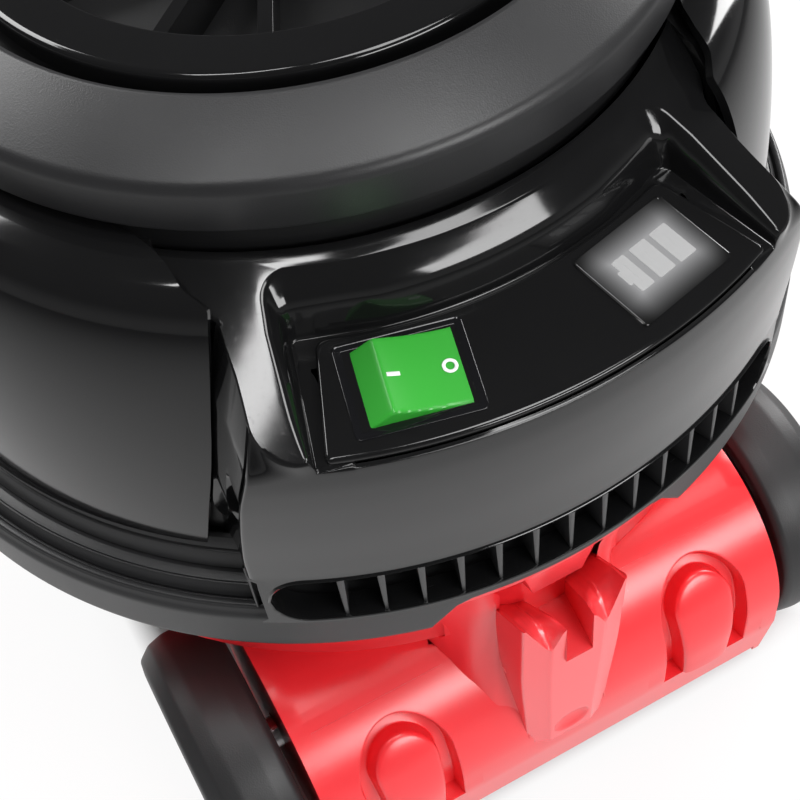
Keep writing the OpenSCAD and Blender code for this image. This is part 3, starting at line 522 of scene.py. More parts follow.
def pod_level(z, half, r_face, corner, face_az, side_at):
    """Left half of the pod's outline at one height: first the points at shares side_at from the
    face's last azimuth round the corner to the seam, backwards, then the face at azimuths face_az."""
    a_c = math.degrees(math.asin(half / r_face))
    y_c = math.sqrt(r_face ** 2 - half ** 2)
    seam = polar(dome_r(z) - 1.0, np.interp(z, SEAM_Z, SEAM_AZ) + 0.4, 0)[:2]
    run = joined(arc(r_face, face_az[0], a_c - 0.5, 12), [(half, y_c)], [seam])
    run = rounded(run, [0] * 12 + [corner, 0], 10)
    tip = share(run, np.array([half, y_c]))
    run = along(run, np.interp(side_at, [0, 0.36, 1], [0, tip, 1]))[::-1]
    # the side steps in behind the corner, above a tongue that reaches further down
    tongue = np.interp(z, [203, 238], [seam[1] - 1, y_c - 3])
    run[:, 0] -= 4.5 * ((run[:, 1] < y_c - 2.2) & (run[:, 1] > tongue) & (run[:, 0] > 60))
    return np.c_[joined(run, polar(r_face, face_az[1:], 0)[:, :2]), np.full(len(run) + len(face_az) - 1, z)]


def pod_deck(n=150):
    """Pocket wall and deck of the pod's left half, as n lines from the middle of the front wall
    round to the middle of the back: each runs from the pocket's floor up its wall and over its edge,
    and then straight out to the deck's outline. Gives the wall, the deck and how many lines end on
    the arm beside the pocket."""
    edge = plan([(165.9, 24.2), (155, 25.35), (134.7, 27.1), (POCKET_R, 27.9), (POCKET_R, 20.0)])
    edge = joined(rounded(edge, [0, 60, 0, 6.5, 0], 14)[:-1], arc(POCKET_R, 20.0, 0, 20))
    floor = rounded(plan([(165.6, 23.7), (147, 24.5), (129.6, 25.6), (129.6, 15.0)]), [0, 0, 2.2, 0], 14)
    floor = joined(floor[:-1], arc(129.6, 15.0, 0, 16))
    arm = rounded(plan([(165.9, 24.2), (166.2, 25.2), (165.2, 26.5), (163, 27.6), (160.0, 28.5),
                        (157.6, 28.95), (151, 29.6), (145, 30.3), (139, 31.3), (133, 32.3)]), 8.0, 5)
    wing = rounded(plan([(133, 32.3), (129.3, 35.2), (124.2, 37.6), (119.7, 40.5), (116.3, 44), (115.6, 40)]),
                   [0, 8, 12, 8, 0, 0], 5)
    outline = joined(arm, wing[:-1], arc(115.6, 43, 0, 40))
    arm_end = share(outline, arm[-1])
    s = np.linspace(0, 1, n)
    at_edge, at_floor = share(edge, plan([(122.0, 27.6)])[0]), share(floor, plan([(130.0, 25.2)])[0])
    edge = along(edge, np.interp(s, POD_KEYS, [0, at_edge * 0.97, at_edge + 0.02, at_edge + 0.055, 1]))
    floor = along(floor, np.interp(s, POD_KEYS, [0, at_floor * 0.985, at_floor, at_floor + 0.015, 1]))
    wing_end = share(outline, plan([(115.6, 42)])[0])
    out_at = np.interp(s, POD_KEYS, [0, arm_end, arm_end + 0.1, wing_end + 0.05, 1])
    outline = along(outline, out_at)
    inward = (floor - edge) / np.linalg.norm(floor - edge, axis=1)[:, None]
    under = floor + inward * 9.0
    under = np.c_[under, panel_z(under) - FLOOR_DROP]
    floor = np.c_[floor, panel_z(floor) - FLOOR_DROP]
    edge, outline = np.c_[edge, deck_z(edge)], np.c_[outline, deck_z(outline)]
    steep = floor + (edge - floor) * np.array([0.34, 0.34, 0.60])
    wall = np.array([fillet(line, [0, 0.9, 12, 1.3, 0], 5, 2)[:-3]
                     for line in zip(under, floor, steep, edge, outline)])
    t = np.linspace(0, 1, 10)[None, :, None]
    deck = wall[:, -1:] * (1 - t) + outline[:, None] * t
    deck[:, 1:, 2] = deck_z(deck[:, 1:, :2])
    return wall[:, :-1], deck, int(np.searchsorted(out_at, arm_end)) + 1


def pod_sides(wall, deck, arm_n):
    """Outer wall of the pod's left half: from the deck's outline, the end of the pocket's wall and
    the front of the pocket's floor over a small chamfer down through the level outlines. Gives its
    lines, the azimuths of the face's columns, the shares of the side's, and the lowest level."""
    side_top = deck[:arm_n, -1]
    side_at = lengths(side_top[:, :2])
    side_at = side_at / side_at[-1]
    front = np.concatenate([wall[0], deck[0]])[::-1]
    front_az = np.degrees(np.arctan2(front[:, 0], front[:, 1]))
    across = np.linspace(front_az[-1], 0, 60)[1:]
    face_top = polar(165.4, across, 0)
    face_top[:, 2] = panel_z(face_top[:, :2]) - FLOOR_DROP
    top = np.concatenate([side_top[::-1], front[1:], face_top])
    face_az = np.r_[front_az, across]
    face_az[0] = max(face_az[0], 24.2)
    levels = [pod_level(*level, face_az, side_at) for level in FACE_LEVELS]
    tangent = np.gradient(resample(top[:, :2], len(top)), axis=0)
    spot = lengths(top[:, :2])
    lines = []
    for k, p in enumerate(top):
        q = tangent[int(round(spot[k] / spot[-1] * (len(top) - 1)))]
        out = np.array([-q[1], q[0]]) / np.linalg.norm(q)
        out = out if out @ p[:2] > 0 else -out
        chamfer = np.r_[p[:2] + out * 0.55, p[2] - 0.75]
        down = [p, chamfer] + [level[k] for level in levels]
        lines.append(fillet(down, [0, 0.8, 8, 14, 25, 30, 30, 0], 4, 2))
    return np.array(lines), face_az, side_at, levels[-1]


def vent_face(face_az, side_at, level):
    """Lower sides of the pod's left half, and the face round the whole slot: a band between the
    face's border and a capsule, where it turns in over a small raised lip."""
    level_az = np.degrees(np.arctan2(level[:, 0], level[:, 1]))
    turn = int(np.argmax((level_az < 32.15) & (level[:, 1] > 130)))
    sides = np.stack([pod_level(*low, face_az, side_at)[:turn + 1] for low in LOW_LEVELS], 1)
    z_low, r_low = [low[0] for low in LOW_LEVELS], [low[2] for low in LOW_LEVELS]
    az_low = np.degrees(np.arctan2(sides[-1, :, 0], sides[-1, :, 1]))
    top_az = level_az[turn:]
    full_top = np.r_[top_az, -top_az[-2::-1]]
    down = list(zip(az_low[1:-1], z_low[1:-1]))
    border = [(a, z_low[0]) for a in full_top] + [(-a, z) for a, z in down]
    border += [(a * az_low[-1] / full_top[0], POD_FOOT) for a in full_top[::-1]] + down[::-1]
    border = np.array(border + border[:1])
    half_h, mid_z = (VENT_Z1 - VENT_Z0) / 2, (VENT_Z1 + VENT_Z0) / 2
    cap_az = math.degrees(half_h / 162.2)
    end = VENT_HALF - cap_az
    capsule = []
    for a, z in border:
        ac = np.clip(a, -end, end)
        da, dz = (a - ac) / cap_az, (z - mid_z) / half_h
        far = math.hypot(da, dz)
        if abs(a) <= end:
            capsule.append((a, mid_z + math.copysign(half_h, dz)))
        else:
            capsule.append((ac + da / far * cap_az, mid_z + dz / far * half_h))
    outer, ring = (polar(np.interp(q[:, 1], z_low[::-1], r_low[::-1]), q[:, 0], q[:, 1])
                   for q in (border, np.array(capsule)))
    grow = (ring - outer) / np.maximum(np.linalg.norm(ring - outer, axis=1), 1e-6)[:, None]
    radial = ring * np.array([1, 1, 0]) / np.hypot(ring[:, 0], ring[:, 1])[:, None]
    # how far each line of the lip lies from the capsule: back along the face, and off the face
    lip = ((1.0, 0.0), (0.8, 0.35), (0.5, 0.55), (0.1, 0.4), (0.0, 0.0), (0.0, -0.8), (0.0, -8.0))
    return sides, np.stack([outer] + [ring - grow * back + radial * up for back, up in lip])


def pod_cover():
    """Pod cover: pocket wall and deck, outer wall, the drop behind the seam and along the neck, and
    the lower sides with the vent's face."""
    piece = Piece("pod_cover_shell")
    wall, deck, arm_n = pod_deck()
    piece.mirrored(np.concatenate([wall, deck], 1))
    lines, face_az, side_at, level = pod_sides(wall, deck, arm_n)
    piece.mirrored(lines, flip=True)
    back = deck[arm_n - 1:, -1]
    piece.mirrored(np.stack([back - (0, 0, drop) for drop in (0, 0.5, 8.0)], 1))
    sides, face = vent_face(face_az, side_at, level)
    piece.mirrored(sides, flip=True)
    return piece.grid(face)


pod_cover().make("gloss_black", BASE, "pod_cover", weld=0.01, sharp=38)


def fin(az, r0, r1, z0, z1, half):
    """A moulded fin: a blade standing radially in the slot, thinner at its foot, with a flat front edge
    between two chamfers."""
    a = math.radians(az)
    rad, tan = np.array([math.sin(a), math.cos(a)]), np.array([math.cos(a), -math.sin(a)])
    levels = []
    for z, h in ((z0, half * 0.42), (z1, half)):
        nose = [(r1, -h), (r1 + 0.25, -h * 0.6), (r1 + 0.25, h * 0.6), (r1, h)]
        section = np.array([(r0, -h)] + nose + [(r0, h), (r0, -h)])
        levels.append(np.c_[section[:, :1] * rad + section[:, 1:] * tan, np.full(len(section), z)])
    return np.stack(levels)


def exhaust_grille():
    """Fins in the slot, in front of a dark curved back."""
    piece = Piece("exhaust_grille_fins")
    for i in range(13):
        piece.grid(fin((i - 6) * 4.02, 150.6, 161.3, VENT_Z0 - 0.4, VENT_Z1 + 0.4, 1.15))
    for az in (-33.5, 33.5):
        piece.grid(fin(az, 150.6, 158.0, VENT_Z0 - 1.0, VENT_Z1 + 1.0, 0.7))
    back = [(150.2, VENT_Z0 - 2), (150.2, VENT_Z1 + 2), (158.9, VENT_Z1 + 1.4), (158.9, VENT_Z1 + 2.6),
            (149.0, VENT_Z1 + 3), (149.0, VENT_Z0 - 2.2), (158.9, VENT_Z0 - 2.2), (158.9, VENT_Z0 - 1.2),
            (150.2, VENT_Z0 - 1.2)]
    return piece.grid(revolved(back, -31.6, 31.6, 80), flip=True)


exhaust_grille().make("satin_black", BASE, "exhaust_grille", material=grille_black, sharp=40)

# ---- Ring, disc and side panels ----
ring_profile = rounded([(94.5, 300), (94.5, 313.4), (96.3, 315.6), (118.9, 305.7), (118.2, 291.1),
                        (114.6, 291.1), (114.6, 300), (94.5, 300)], [0, 0.8, 1.6, 4.5, 0.6, 0, 0, 0], 8)
disc_profile = rounded([(73.3, 300), (73.3, 313.7), (88.6, 313.7), (88.6, 300), (85.6, 300), (85.6, 310.7),
                        (76, 310.7), (76, 300), (73.3, 300)], [0, 0.9, 2.2, 0, 0, 0, 0, 0, 0], 8)
for node, slot, profile in (("top_ring", "rim_grey", ring_profile),
                            ("top_disc", "gloss_black", disc_profile)):
    turned = Piece(node + "_moulding").grid(revolved(profile, n=256))
    turned.make(slot, BASE, node, outward=True)

# (radius, azimuth) of the side panel's upper end, along the deck's edge
PETAL_EDGE = [(114.4, 60.0), (114.5, 50.0), (116, 44), (119.7, 40.6), (124.2, 37.9), (129.3, 35.7),
              (132.6, 32.6)]


def dome_rows(count, top_r=114.4):
    """(r, z) pairs up the domed side: R + B cos^(2/7) and sin^(2/1.8) of an angle up to 72 degrees,
    and from there at equal steps of r."""
    phi = np.radians(np.linspace(0, 72, count))
    low = DOME_R + DOME_BULGE * np.cos(phi) ** (2 / DOME_OUT)
    high = np.linspace(low[-1], top_r, count // 2)[1:]
    q = np.power(1 - ((high - DOME_R) / DOME_BULGE) ** DOME_OUT, 1 / DOME_UP)
    q = np.r_[np.sin(phi) ** (2 / DOME_UP), q]
    return np.stack([np.r_[low, high], DOME_Z + (DOME_TOP - DOME_Z) * q], -1)


def side_panel():
    """Left side panel: the dome between the rear seam, whose upper end follows the deck's edge, and
    the front seam. Each level runs from seam to seam at its own radius."""
    edge = np.array(PETAL_EDGE)
    lines = []
    for r, z in dome_rows(56):
        start = np.interp(z, SEAM_Z, SEAM_AZ) if r > edge[-1, 0] else np.interp(r, edge[:, 0], edge[:, 1])
        end = 180 - math.degrees(math.acos(min(1, (SEAM_Y - 0.3) / r)))
        lines.append(polar(r, np.linspace(start, end, 150), z))
    return np.array(lines)


panel = side_panel()
for side, name in ((1, "left"), (-1, "right")):
    shell = Piece("side_panel_" + name + "_shell").grid(panel * np.array([side, 1, 1]), flip=side > 0)
    shell.make("gloss_black", BASE, "side_panel_" + name, wall=2.6, bevel=0.7, sharp=50)


def front_panel():
    """Front panel: the part of the dome in front of the front seam."""
    lines = []
    for r, z in dome_rows(56, 114.6):
        half = math.degrees(math.acos(min(1, (SEAM_Y + 0.3) / r)))
        lines.append(polar(r, np.linspace(180 - half, 180 + half, 90), z))
    return np.array(lines)


shell = Piece("front_panel_shell").grid(front_panel(), flip=True)
shell.make("gloss_black", BASE, "front_panel", wall=2.6, bevel=0.6, sharp=50)

# ---- Ledge and rim ----
LEDGE_END = 33.6  # azimuth at which the ledge stops beside the pod
ledge_profile = rounded([
    (143.6, 186), (143.6, 192.6), (145.2, 191.6), (146.9, 188.0), (146.2, 187.7), (146.3, 186.9),
    (147.3, 186.9), (149.0, 180.9), (148.2, 180.6), (148.4, 179.8), (149.8, 180.1), (152.5, 179.6),
    (152.6, 179.0), (152.95, 178.9), (153.1, 179.5), (155.0, 175.4), (154.8, 174.2), (155.5, 173.8),
    (156.2, 176.0), (158.2, 176.2), (158.9, 172.0), (158.9, 165), (156, 165), (143.6, 186)],
    [0, 0.4, 0.5, 0.4, 0.2, 0.2, 0.4, 0.5, 0.2, 0.2, 0.5, 0.2,
     0, 0, 0.3, 0.4, 0.2, 0.2, 0.7, 0.8, 1.0, 0, 0, 0], 3)
ledge = Piece("head_base_moulding")
base_profile = [(22, 164), (156.2, 164), (156.2, 173.2), (141.8, 173.2), (141.8, 167), (22, 167), (22, 164)]
ledge.grid(revolved(base_profile, n=192))
ledge.grid(revolved(ledge_profile, LEDGE_END, 360 - LEDGE_END, 260))
for az in (LEDGE_END, 360 - LEDGE_END):
    ledge.fan(polar(ledge_profile[:, 0], az, ledge_profile[:, 1]))
# the blocks that the latches close on
keeper = ((151, 172), (151, 180.6), (159.2, 180.6), (159.2, 172), (151, 172))
for side in (-1, 1):
    ledge.grid(np.array([[(side * x, y, z) for x, z in keeper] for y in (-11, 11)]))
ledge.make("rim_grey", BASE, "head_base", outward=True)


def rim_band():
    """Rim band: one profile turned about Z, whose lower edge rises over the notch at the rear."""
    az = np.unique(np.r_[np.linspace(-180, 180, 289), np.linspace(-17, 17, 137)])
    x = np.abs(RIM_R * np.sin(np.radians(az)))
    notch = np.interp(x, [26.0, 31.0, 35.6, 42.9, 43.5], [166.6, 166.2, 164.4, 156.0, RIM_Z])
    lines = []
    for z0 in np.where(np.abs(az) < 60, notch, RIM_Z):
        prof = rounded([(156.3, 174.5), (157.0, 176.0), (158.3, 175.7), (159.0, 173.2), (RIM_R, 171.6),
                        (RIM_R, z0), (157.0, z0), (157.0, z0 + 2), (156.3, z0 + 2), (156.3, 174.5)],
                       [0, 0.5, 0.8, 2.0, 1.5, 1.2, 0.5, 0, 0, 0], 4)
        lines.append(resample(prof, 48))
    lines = np.array(lines)
    return polar(lines[..., 0], az[:, None], lines[..., 1])


Piece("rim_band_moulding").grid(rim_band()).make("rim_grey", BASE, "rim_band", outward=True, sharp=50)

# ---- Panel and controls ----
CONTROL_AZ, CONTROL_R, CONTROL_Z = 14, 146.6, 261.193
BOX_STEPS = 6
BOX_POINTS = 4 * (BOX_STEPS + 1) + 1


def on_panel(points, az):
    """Local points (along the panel, outwards, off the panel) placed at the control at azimuth az."""
    p = np.asarray(points, float)
    t, a = PANEL_TILT, math.radians(az)
    x = p[..., 0]
    y = CONTROL_R + p[..., 1] * math.cos(t) + p[..., 2] * math.sin(t)
    z = CONTROL_Z - p[..., 1] * math.sin(t) + p[..., 2] * math.cos(t)
    return np.stack([x * math.cos(a) + y * math.sin(a), -x * math.sin(a) + y * math.cos(a), z], -1)


def box_loop(l, w, r):
    """Closed outline of a rounded rectangle l by w with corner radius r."""
    pts = []
    for cx, cy, a0 in ((1, 1, 0), (-1, 1, 90), (-1, -1, 180), (1, -1, 270)):
        for k in range(BOX_STEPS + 1):
            a = math.radians(a0 + 90 * k / BOX_STEPS)
            pts.append((cx * (l / 2 - r) + r * math.cos(a), cy * (w / 2 - r) + r * math.sin(a)))
    return np.array(pts + pts[:1])


def box_level(l, w, r, height, centre=(0, 0)):
    """A rounded rectangle's outline at a height, moved to a centre."""
    return np.c_[box_loop(l, w, r) + centre, np.full(BOX_POINTS, height)]


def box_ring(l, w, r, section, centre=(0, 0), least=0.15):
    """A section of (inset, height) pairs carried round a rounded rectangle."""
    return [box_level(l - 2 * d, w - 2 * d, max(r - d, least), h, centre) for d, h in section]


def control_panel():
    """Raised plate on the pocket's floor: a cone patch with rounded corners, a rounded raised edge
    and a skirt, whose lines shrink towards two points beneath the controls."""
    r_in, r_out, end = 130.9, 164.9, 22.8
    loop = joined(plan([(148, end), (r_out, end)]), arc(r_out, 20, -20, 80),
                  plan([(r_out, -end), (r_in, -end)]), arc(r_in, -20, 20, 60),
                  plan([(r_in, end), (148, end)]))
    loop = rounded(loop, [0, 1.5] + [0] * 80 + [1.5, 4.5] + [0] * 60 + [4.5, 0], 8)
    piece = Piece("control_panel_plate")
    mid_r = 147.9
    r_all, az_all = np.hypot(*loop.T), np.degrees(np.arctan2(loop[:, 0], loop[:, 1]))
    rings = []
    edge = ((0.0, -1.6), (0.0, -0.85), (0.08, -0.5), (0.3, -0.2), (0.65, -0.02), (1.05, 0.04), (1.5, 0.03))
    for inset, lift in edge + tuple((inset, 0.0) for inset in (2.0, 3.2, 6.0, 9.0, 12.5, 15.5)):
        p = polar((r_all - mid_r) * (1 - inset / 17.0) + mid_r, az_all * (1 - inset / 58.5), 0)
        p[:, 2] = panel_z(p[:, :2]) + lift
        rings.append(p)
    piece.grid(np.array(rings), flip=True)
    last = rings[-1]
    mid = polar(mid_r, np.degrees(np.arctan2(last[:, 0], last[:, 1])), 0)
    mid[:, 2] = panel_z(mid[:, :2])
    return piece.grid(np.stack([last, mid]), flip=True)


control_panel().make("gloss_black", BASE, "control_panel", sharp=50)

bezel_section = [(0.0, -0.3), (0.0, 0.08), (0.12, 0.16), (0.3, 0.16), (0.5, 0.06), (0.8, 0.04), (1.9, 0.04),
                 (2.1, -0.05), (2.25, -6.0)]
bezel = Piece("rocker_bezel_frame").grid(on_panel(box_ring(33.4, 27.4, 1.6, bezel_section), CONTROL_AZ))
bezel.make("satin_black", BASE, "rocker_bezel", material=SLOT_FINISH["lens_black"], sharp=40)
well = [box_level(29, 23, 0.5, -2.5), box_level(0.2, 0.2, 0.05, -2.5)]
Piece("rocker_well").grid(on_panel(well, CONTROL_AZ)).make("satin_black", BASE)

ROCKER_HALF, ROCKER_WIDE, ROCKER_FOOT = 13.4, 11.1, -2.6
RIDGE_X, RIDGE_Z = 6.6, 4.9


def rocker_top(x):
    """Height of the rocker's top along its length: 0.5 + 4.4 s^1.9 up to the ridge, s being the
    share of the way there, then a straight fall."""
    hollow = 0.5 + (RIDGE_Z - 0.5) * np.interp(x, [-ROCKER_HALF, RIDGE_X], [0, 1]) ** 1.9
    return np.where(x < RIDGE_X, hollow, RIDGE_Z - 5.7 * (x - RIDGE_X) / (ROCKER_HALF - RIDGE_X))


def rocker_cap():
    """Rocker: a rounded trapezium across, carried along the top's curve, and its two ends."""
    piece = Piece("rocker_cap")
    x = np.r_[np.linspace(-ROCKER_HALF, 6.1, 40), 6.4, RIDGE_X, 6.85, np.linspace(7.3, ROCKER_HALF, 12)]
    height = rocker_top(x)
    height[40:43] -= [0.05, 0.16, 0.1]
    rows = []
    for xi, z in zip(x, height):
        w, top = ROCKER_WIDE, ROCKER_WIDE - 0.05 * max(z + 1.0, 0.3)
        section = rounded([(-w, ROCKER_FOOT), (-w, -1.2), (-top, z), (top, z), (w, -1.2), (w, ROCKER_FOOT)],
                          [0, 0.4, 0.7, 0.7, 0.4, 0], 5)
        section = resample(section, 60)
        rows.append(np.c_[np.full(len(section), xi), section])
    piece.grid(on_panel(rows, CONTROL_AZ))
    for k in (0, -1):
        low = rows[k].copy()
        low[:, 2] = np.minimum(low[:, 2], ROCKER_FOOT)
        piece.grid(on_panel([rows[k], low], CONTROL_AZ), flip=k == 0)
    return piece


rocker_cap().make("green_plastic", "power_rocker", "rocker", sharp=28)


def mark(name, x, y):
    """A thin printed mark that follows the rocker's top."""
    spot = on_panel(np.stack([x, y, rocker_top(x) + 0.07], -1), CONTROL_AZ)
    Piece(name).grid(spot).make("lit_white", "power_rocker", material=white_ink, wall=0.12)


mark("mark_on", *np.meshgrid(np.linspace(2.2, 5.5, 8), np.linspace(-0.6, 0.6, 3), indexing="ij"))
turn, radius = np.meshgrid(np.linspace(0, 2 * np.pi, 49), np.linspace(1.15, 2.05, 4), indexing="ij")
mark("mark_off", -10.4 + radius * np.cos(turn), radius * np.sin(turn))

# centre, length and width of the three bars and of the small one at their end
BARS = [(-7.75, -0.25, 5.9, 11.5), (-0.25, -0.4, 5.7, 11.4), (6.85, -0.55, 4.5, 11.3), (9.55, -0.6, 1.2, 5.0)]
bars = Piece("gauge_bars_lit")
for cx, cy, l, w in BARS:
    loops = box_ring(l, w, 0.5, ((0, 0.1), (0, 0.24), (0.06, 0.3), (0.4, 0.3)), (cx, cy), 0.05)
    loops.append(box_level(0.02, w - l if w > l else 0.02, 0.005, 0.3, (cx, cy)))
    bars.grid(on_panel(loops, -CONTROL_AZ))
bars.make("lit_white", BASE, "gauge_bars", sharp=40)


def lens_finish():
    """Clear black lens, lit softly round the bars: the glow is (1 - d / 10 mm)^2.2 at distance d
    from their box."""
    f = Finish("gauge_lens_glow", roughness=0.06, emission_strength=0.62)
    a = math.radians(-CONTROL_AZ)
    at = on_panel(np.zeros(3), -CONTROL_AZ) * MM
    p = f.node("Mapping", {"vector_type": "POINT"}, Vector=f.place(), Location=tuple(-at))
    along_x = f.reach(p, (math.cos(a), -math.sin(a), 0.0))
    along_y = f.reach(p, (math.sin(a), math.cos(a), 0.0))
    dx = (abs(along_x + 0.0003) - 0.0095).at_least(0.0)
    dy = (abs(along_y + 0.0004) - 0.0055).at_least(0.0)
    glow = (1.0 - (dx * dx + dy * dy).root() / 0.0100).clamped() ** 2.2
    f.set("Base Color", f.mix(f.noise(200.0), (0.005, 0.005, 0.005), (0.008, 0.008, 0.008)))
    f.set("Emission Color", f.mix(glow, (0.0, 0.0, 0.0), (0.55, 0.55, 0.56)))
    return f.material


lens_section = [(0, 0.02), (0, 0.2), (0.12, 0.3), (0.5, 0.3), (0.7, 0.12), (3, 0.12), (8, 0.12)]
loops = box_ring(32.6, 25.8, 1.2, lens_section, least=0.1) + [box_level(6.8, 0.02, 0.005, 0.12)]
lens = Piece("gauge_lens_plate").grid(on_panel(loops, -CONTROL_AZ))
lens.make("lens_black", BASE, "gauge_lens", material=lens_finish(), sharp=40)

# ---- Wheels ----
AXLE_Y, AXLE_Z = 110.0, 50.0

# (radius, distance from the middle): a crowned tread with soft shoulders and a dished inner face,
# and a low domed cap with a groove round its middle
tyre_profile = rounded([(40, 96.8), (46.6, 95.8), (48.9, 97.6), (50, 103.5), (50, 114.0), (48.4, 119.8),
                        (44.5, 124.6), (39.2, 125.3), (39, 121.0), (39, 96.8)],
                       [0, 1.5, 3, 8, 8, 4, 3, 0.6, 0, 0], 5)
cap_profile = rounded([(0, 117), (38.6, 117), (38.7, 122.0), (37.8, 122.9), (27, 124.0), (12, 124.6),
                       (11, 123.9), (9, 123.9), (8, 124.8), (0, 124.9)],
                      [0, 0.5, 0.8, 1.0, 20, 0.4, 0.4, 0.4, 0.8, 0], 5)
for side, name in ((1, "left"), (-1, "right")):
    for node, slot, profile, n, sharp in (("tyre_" + name, "tyre_black", tyre_profile, 160, 45),
                                          ("hub_cap_" + name, "red_plastic", cap_profile, 128, 40)):
        turned = Piece(node + "_moulding").grid(x_revolved(profile, side, AXLE_Y, AXLE_Z, n))
        turned.make(slot, "rear_wheel_" + name, node, outward=True, sharp=sharp)

# ---- Tub and chassis, whose lower rear corners are drawn in beside the wheels ----
TUB_Z0, TAPER_Z, TAPER, TAPER_Y, STEP_Y = 39.0, 102.0, 28.0, 3.5, 56.7


def drawn_in(x, y, z):
    """A point of the tub's side moved inwards by 28 mm u^1.4 v: u goes from 0 at the taper's top to 1
    at the tub's foot, and v from 0 at the taper's front to 1 at the step before the wheels. Points
    further in stay where they are, and the step stays flat."""
    r = math.hypot(x, y)
    low = max((TAPER_Z - z) / (TAPER_Z - TUB_Z0), 0) ** 1.4
    rearward = min(max((y - TAPER_Y) / (STEP_Y - TAPER_Y), 0), 1)
    gone = TAPER * low * rearward * float(smoothstep(112.0, 128.0, r))
    if y > STEP_Y - 0.8:
        return math.copysign(math.sqrt(max((r - gone) ** 2 - y * y, 0)), x), y, z
    return x * (1 - gone / r), y * (1 - gone / r), z


def drawn_in_plate(x, y, z):
    """The chassis plate's share of the taper; what stands on it stays."""
    return drawn_in(x, y, z) if y < STEP_Y + 0.4 and z < TUB_Z0 + 1 else (x, y, z)


tub_cuts = [((0, 0, z), (0, 0, 1)) for z in (102, 92, 82, 72, 62, 50)]
refined("tub", "red_plastic", BASE, planes=tub_cuts, draw=drawn_in)
refined("chassis", "satin_black", BASE, bevel=0.5, draw=drawn_in_plate)

# ---- Rear housing with its parks and column ----
HOUSING_R = 50.3
PARK_X, PARK_Z, PARK_RISE, PARK_HALF, DISC_HALF = 60.0, 71.0, 1.0, 17.4, 11.9
TILE_HALF, TILE_Z0, TILE_Z1, LEG_END, GROOVE_DEPTH = 25.0, 33.0, 92.5, 37.0, 6.6


def on_housing(x, z, depth):
    """Points of the housing's rear at width x and height z, sunk by depth: a cylinder about the axle
    above it, and below it a wall that slopes in from z = 38."""
    x, z, depth = np.broadcast_arrays(x, z, depth)
    up = np.clip((z - AXLE_Z) / HOUSING_R, 0, 0.999)
    r = HOUSING_R - depth
    y = AXLE_Y + r * np.sqrt(1 - up * up) - 4.7 * np.clip((38.0 - z) / 29.6, 0, 1)
    return np.stack([x, y, np.where(z > AXLE_Z, AXLE_Z + r * up, z)], -1)


def park_half():
    """Left half of a horseshoe park: rows run up its leg and round a quarter circle, and columns
    run from the tile's border over the groove's rounded edges and floor to the disc's middle."""
    cross = fillet([(18.6, 0), (PARK_HALF + 0.1, 0), (PARK_HALF - 0.7, GROOVE_DEPTH),
                    (DISC_HALF + 0.6, GROOVE_DEPTH), (DISC_HALF - 0.2, -0.9), (8.4, -1.5)],
                   [0, 0.7, 0.7, 0.7, 2.4, 0], 5)
    cross = np.concatenate([cross, [(5.6, -1.7), (2.8, -1.8), (0.0, -1.85)]])
    w, d = cross[:, 0], cross[:, 1]
    rise = PARK_Z + PARK_RISE * np.clip((PARK_HALF - 0.8 - w) / 3.0, 0, 1)
    rows, leg, turn = [], 12, 18
    for k in range(-2, leg + turn + 1):
        if k <= leg:
            s = max(k, 0) / leg
            border = (-TILE_HALF, LEG_END + (PARK_Z - LEG_END) * s)
            narrow = 1 - 0.20 * (1 - s) * smoothstep(PARK_HALF - 0.9, PARK_HALF - 2.2, w)
            x, z = -w * narrow, LEG_END + (rise - LEG_END) * s
        else:
            a = math.radians(180 - 90 * (k - leg) / turn)
            s = (k - leg) / turn
            up, over = min(2 * s, 1), max(2 * s - 1, 0)
            border = (-TILE_HALF * (1 - over), PARK_Z + (TILE_Z1 - PARK_Z) * up)
            x, z = w * math.cos(a), rise + w * math.sin(a)
        depth = d
        if k < 0:
            flat_z = TILE_Z0 if k == -2 else LEG_END
            z, border, depth = np.full(len(w), flat_z), (-TILE_HALF, flat_z), 0 * d
        t = np.linspace(0, 1, 9)[:-1]
        x = np.r_[border[0] + (x[0] - border[0]) * t, x]
        z = np.r_[border[1] + (z[0] - border[1]) * t, z]
        rows.append(np.stack([x, z, np.r_[0 * t, depth]], -1))
    return np.array(rows)


parks = Piece("rear_housing_parks")
half = park_half()
for centre in (PARK_X, -PARK_X):
    for side in (1, -1):
        parks.skin(on_housing(centre + side * half[..., 0], half[..., 1], half[..., 2]), (0, 1, 0.6))

# slopes between the housing, the dock's sides and the rim's notch, and the column behind them
foot = rounded([(41.0, 112.0, 100.6), (37.2, 124.6, 98.1), (34.8, 130.3, 95.9), (30.1, 142.2, 88.6),
                (24.0, 152.8, 76.4), (15.6, 160.5, 54.0)], [0, 20, 20, 20, 14, 0], 4)
head = rounded([(46.5, 128.0, 160.0), (44.8, 149.4, 160.0), (30.0, 153.2, 166.0), (18.0, 149.5, 145.0),
                (17.8, 147.0, 124.0), (17.6, 153.0, 108.0), (17.2, 161.5, 97.0)], [0, 4, 8, 12, 12, 12, 0], 5)
t = np.linspace(0, 1, 16)[None, :, None]
flare = resample(foot, 48)[:, None] * (1 - t) + resample(head, 48)[:, None] * t
flare[..., :2] -= 2.6 * np.sin(np.pi * t) * np.array([0.6, 0.8])
parks.pair(flare, (1, 1, 0))
parks.skin(revolved([(146.0, 110.0), (146.0, 146.0)], -7.2, 7.2, 20), (0, 1, 0))
parks.skin(revolved([(146.0, 145.0), (152.0, 160.0), (152.0, 169.0)], -17.0, 17.0, 40), (0, 1, 0))
parks.make("red_plastic", BASE, sharp=50)


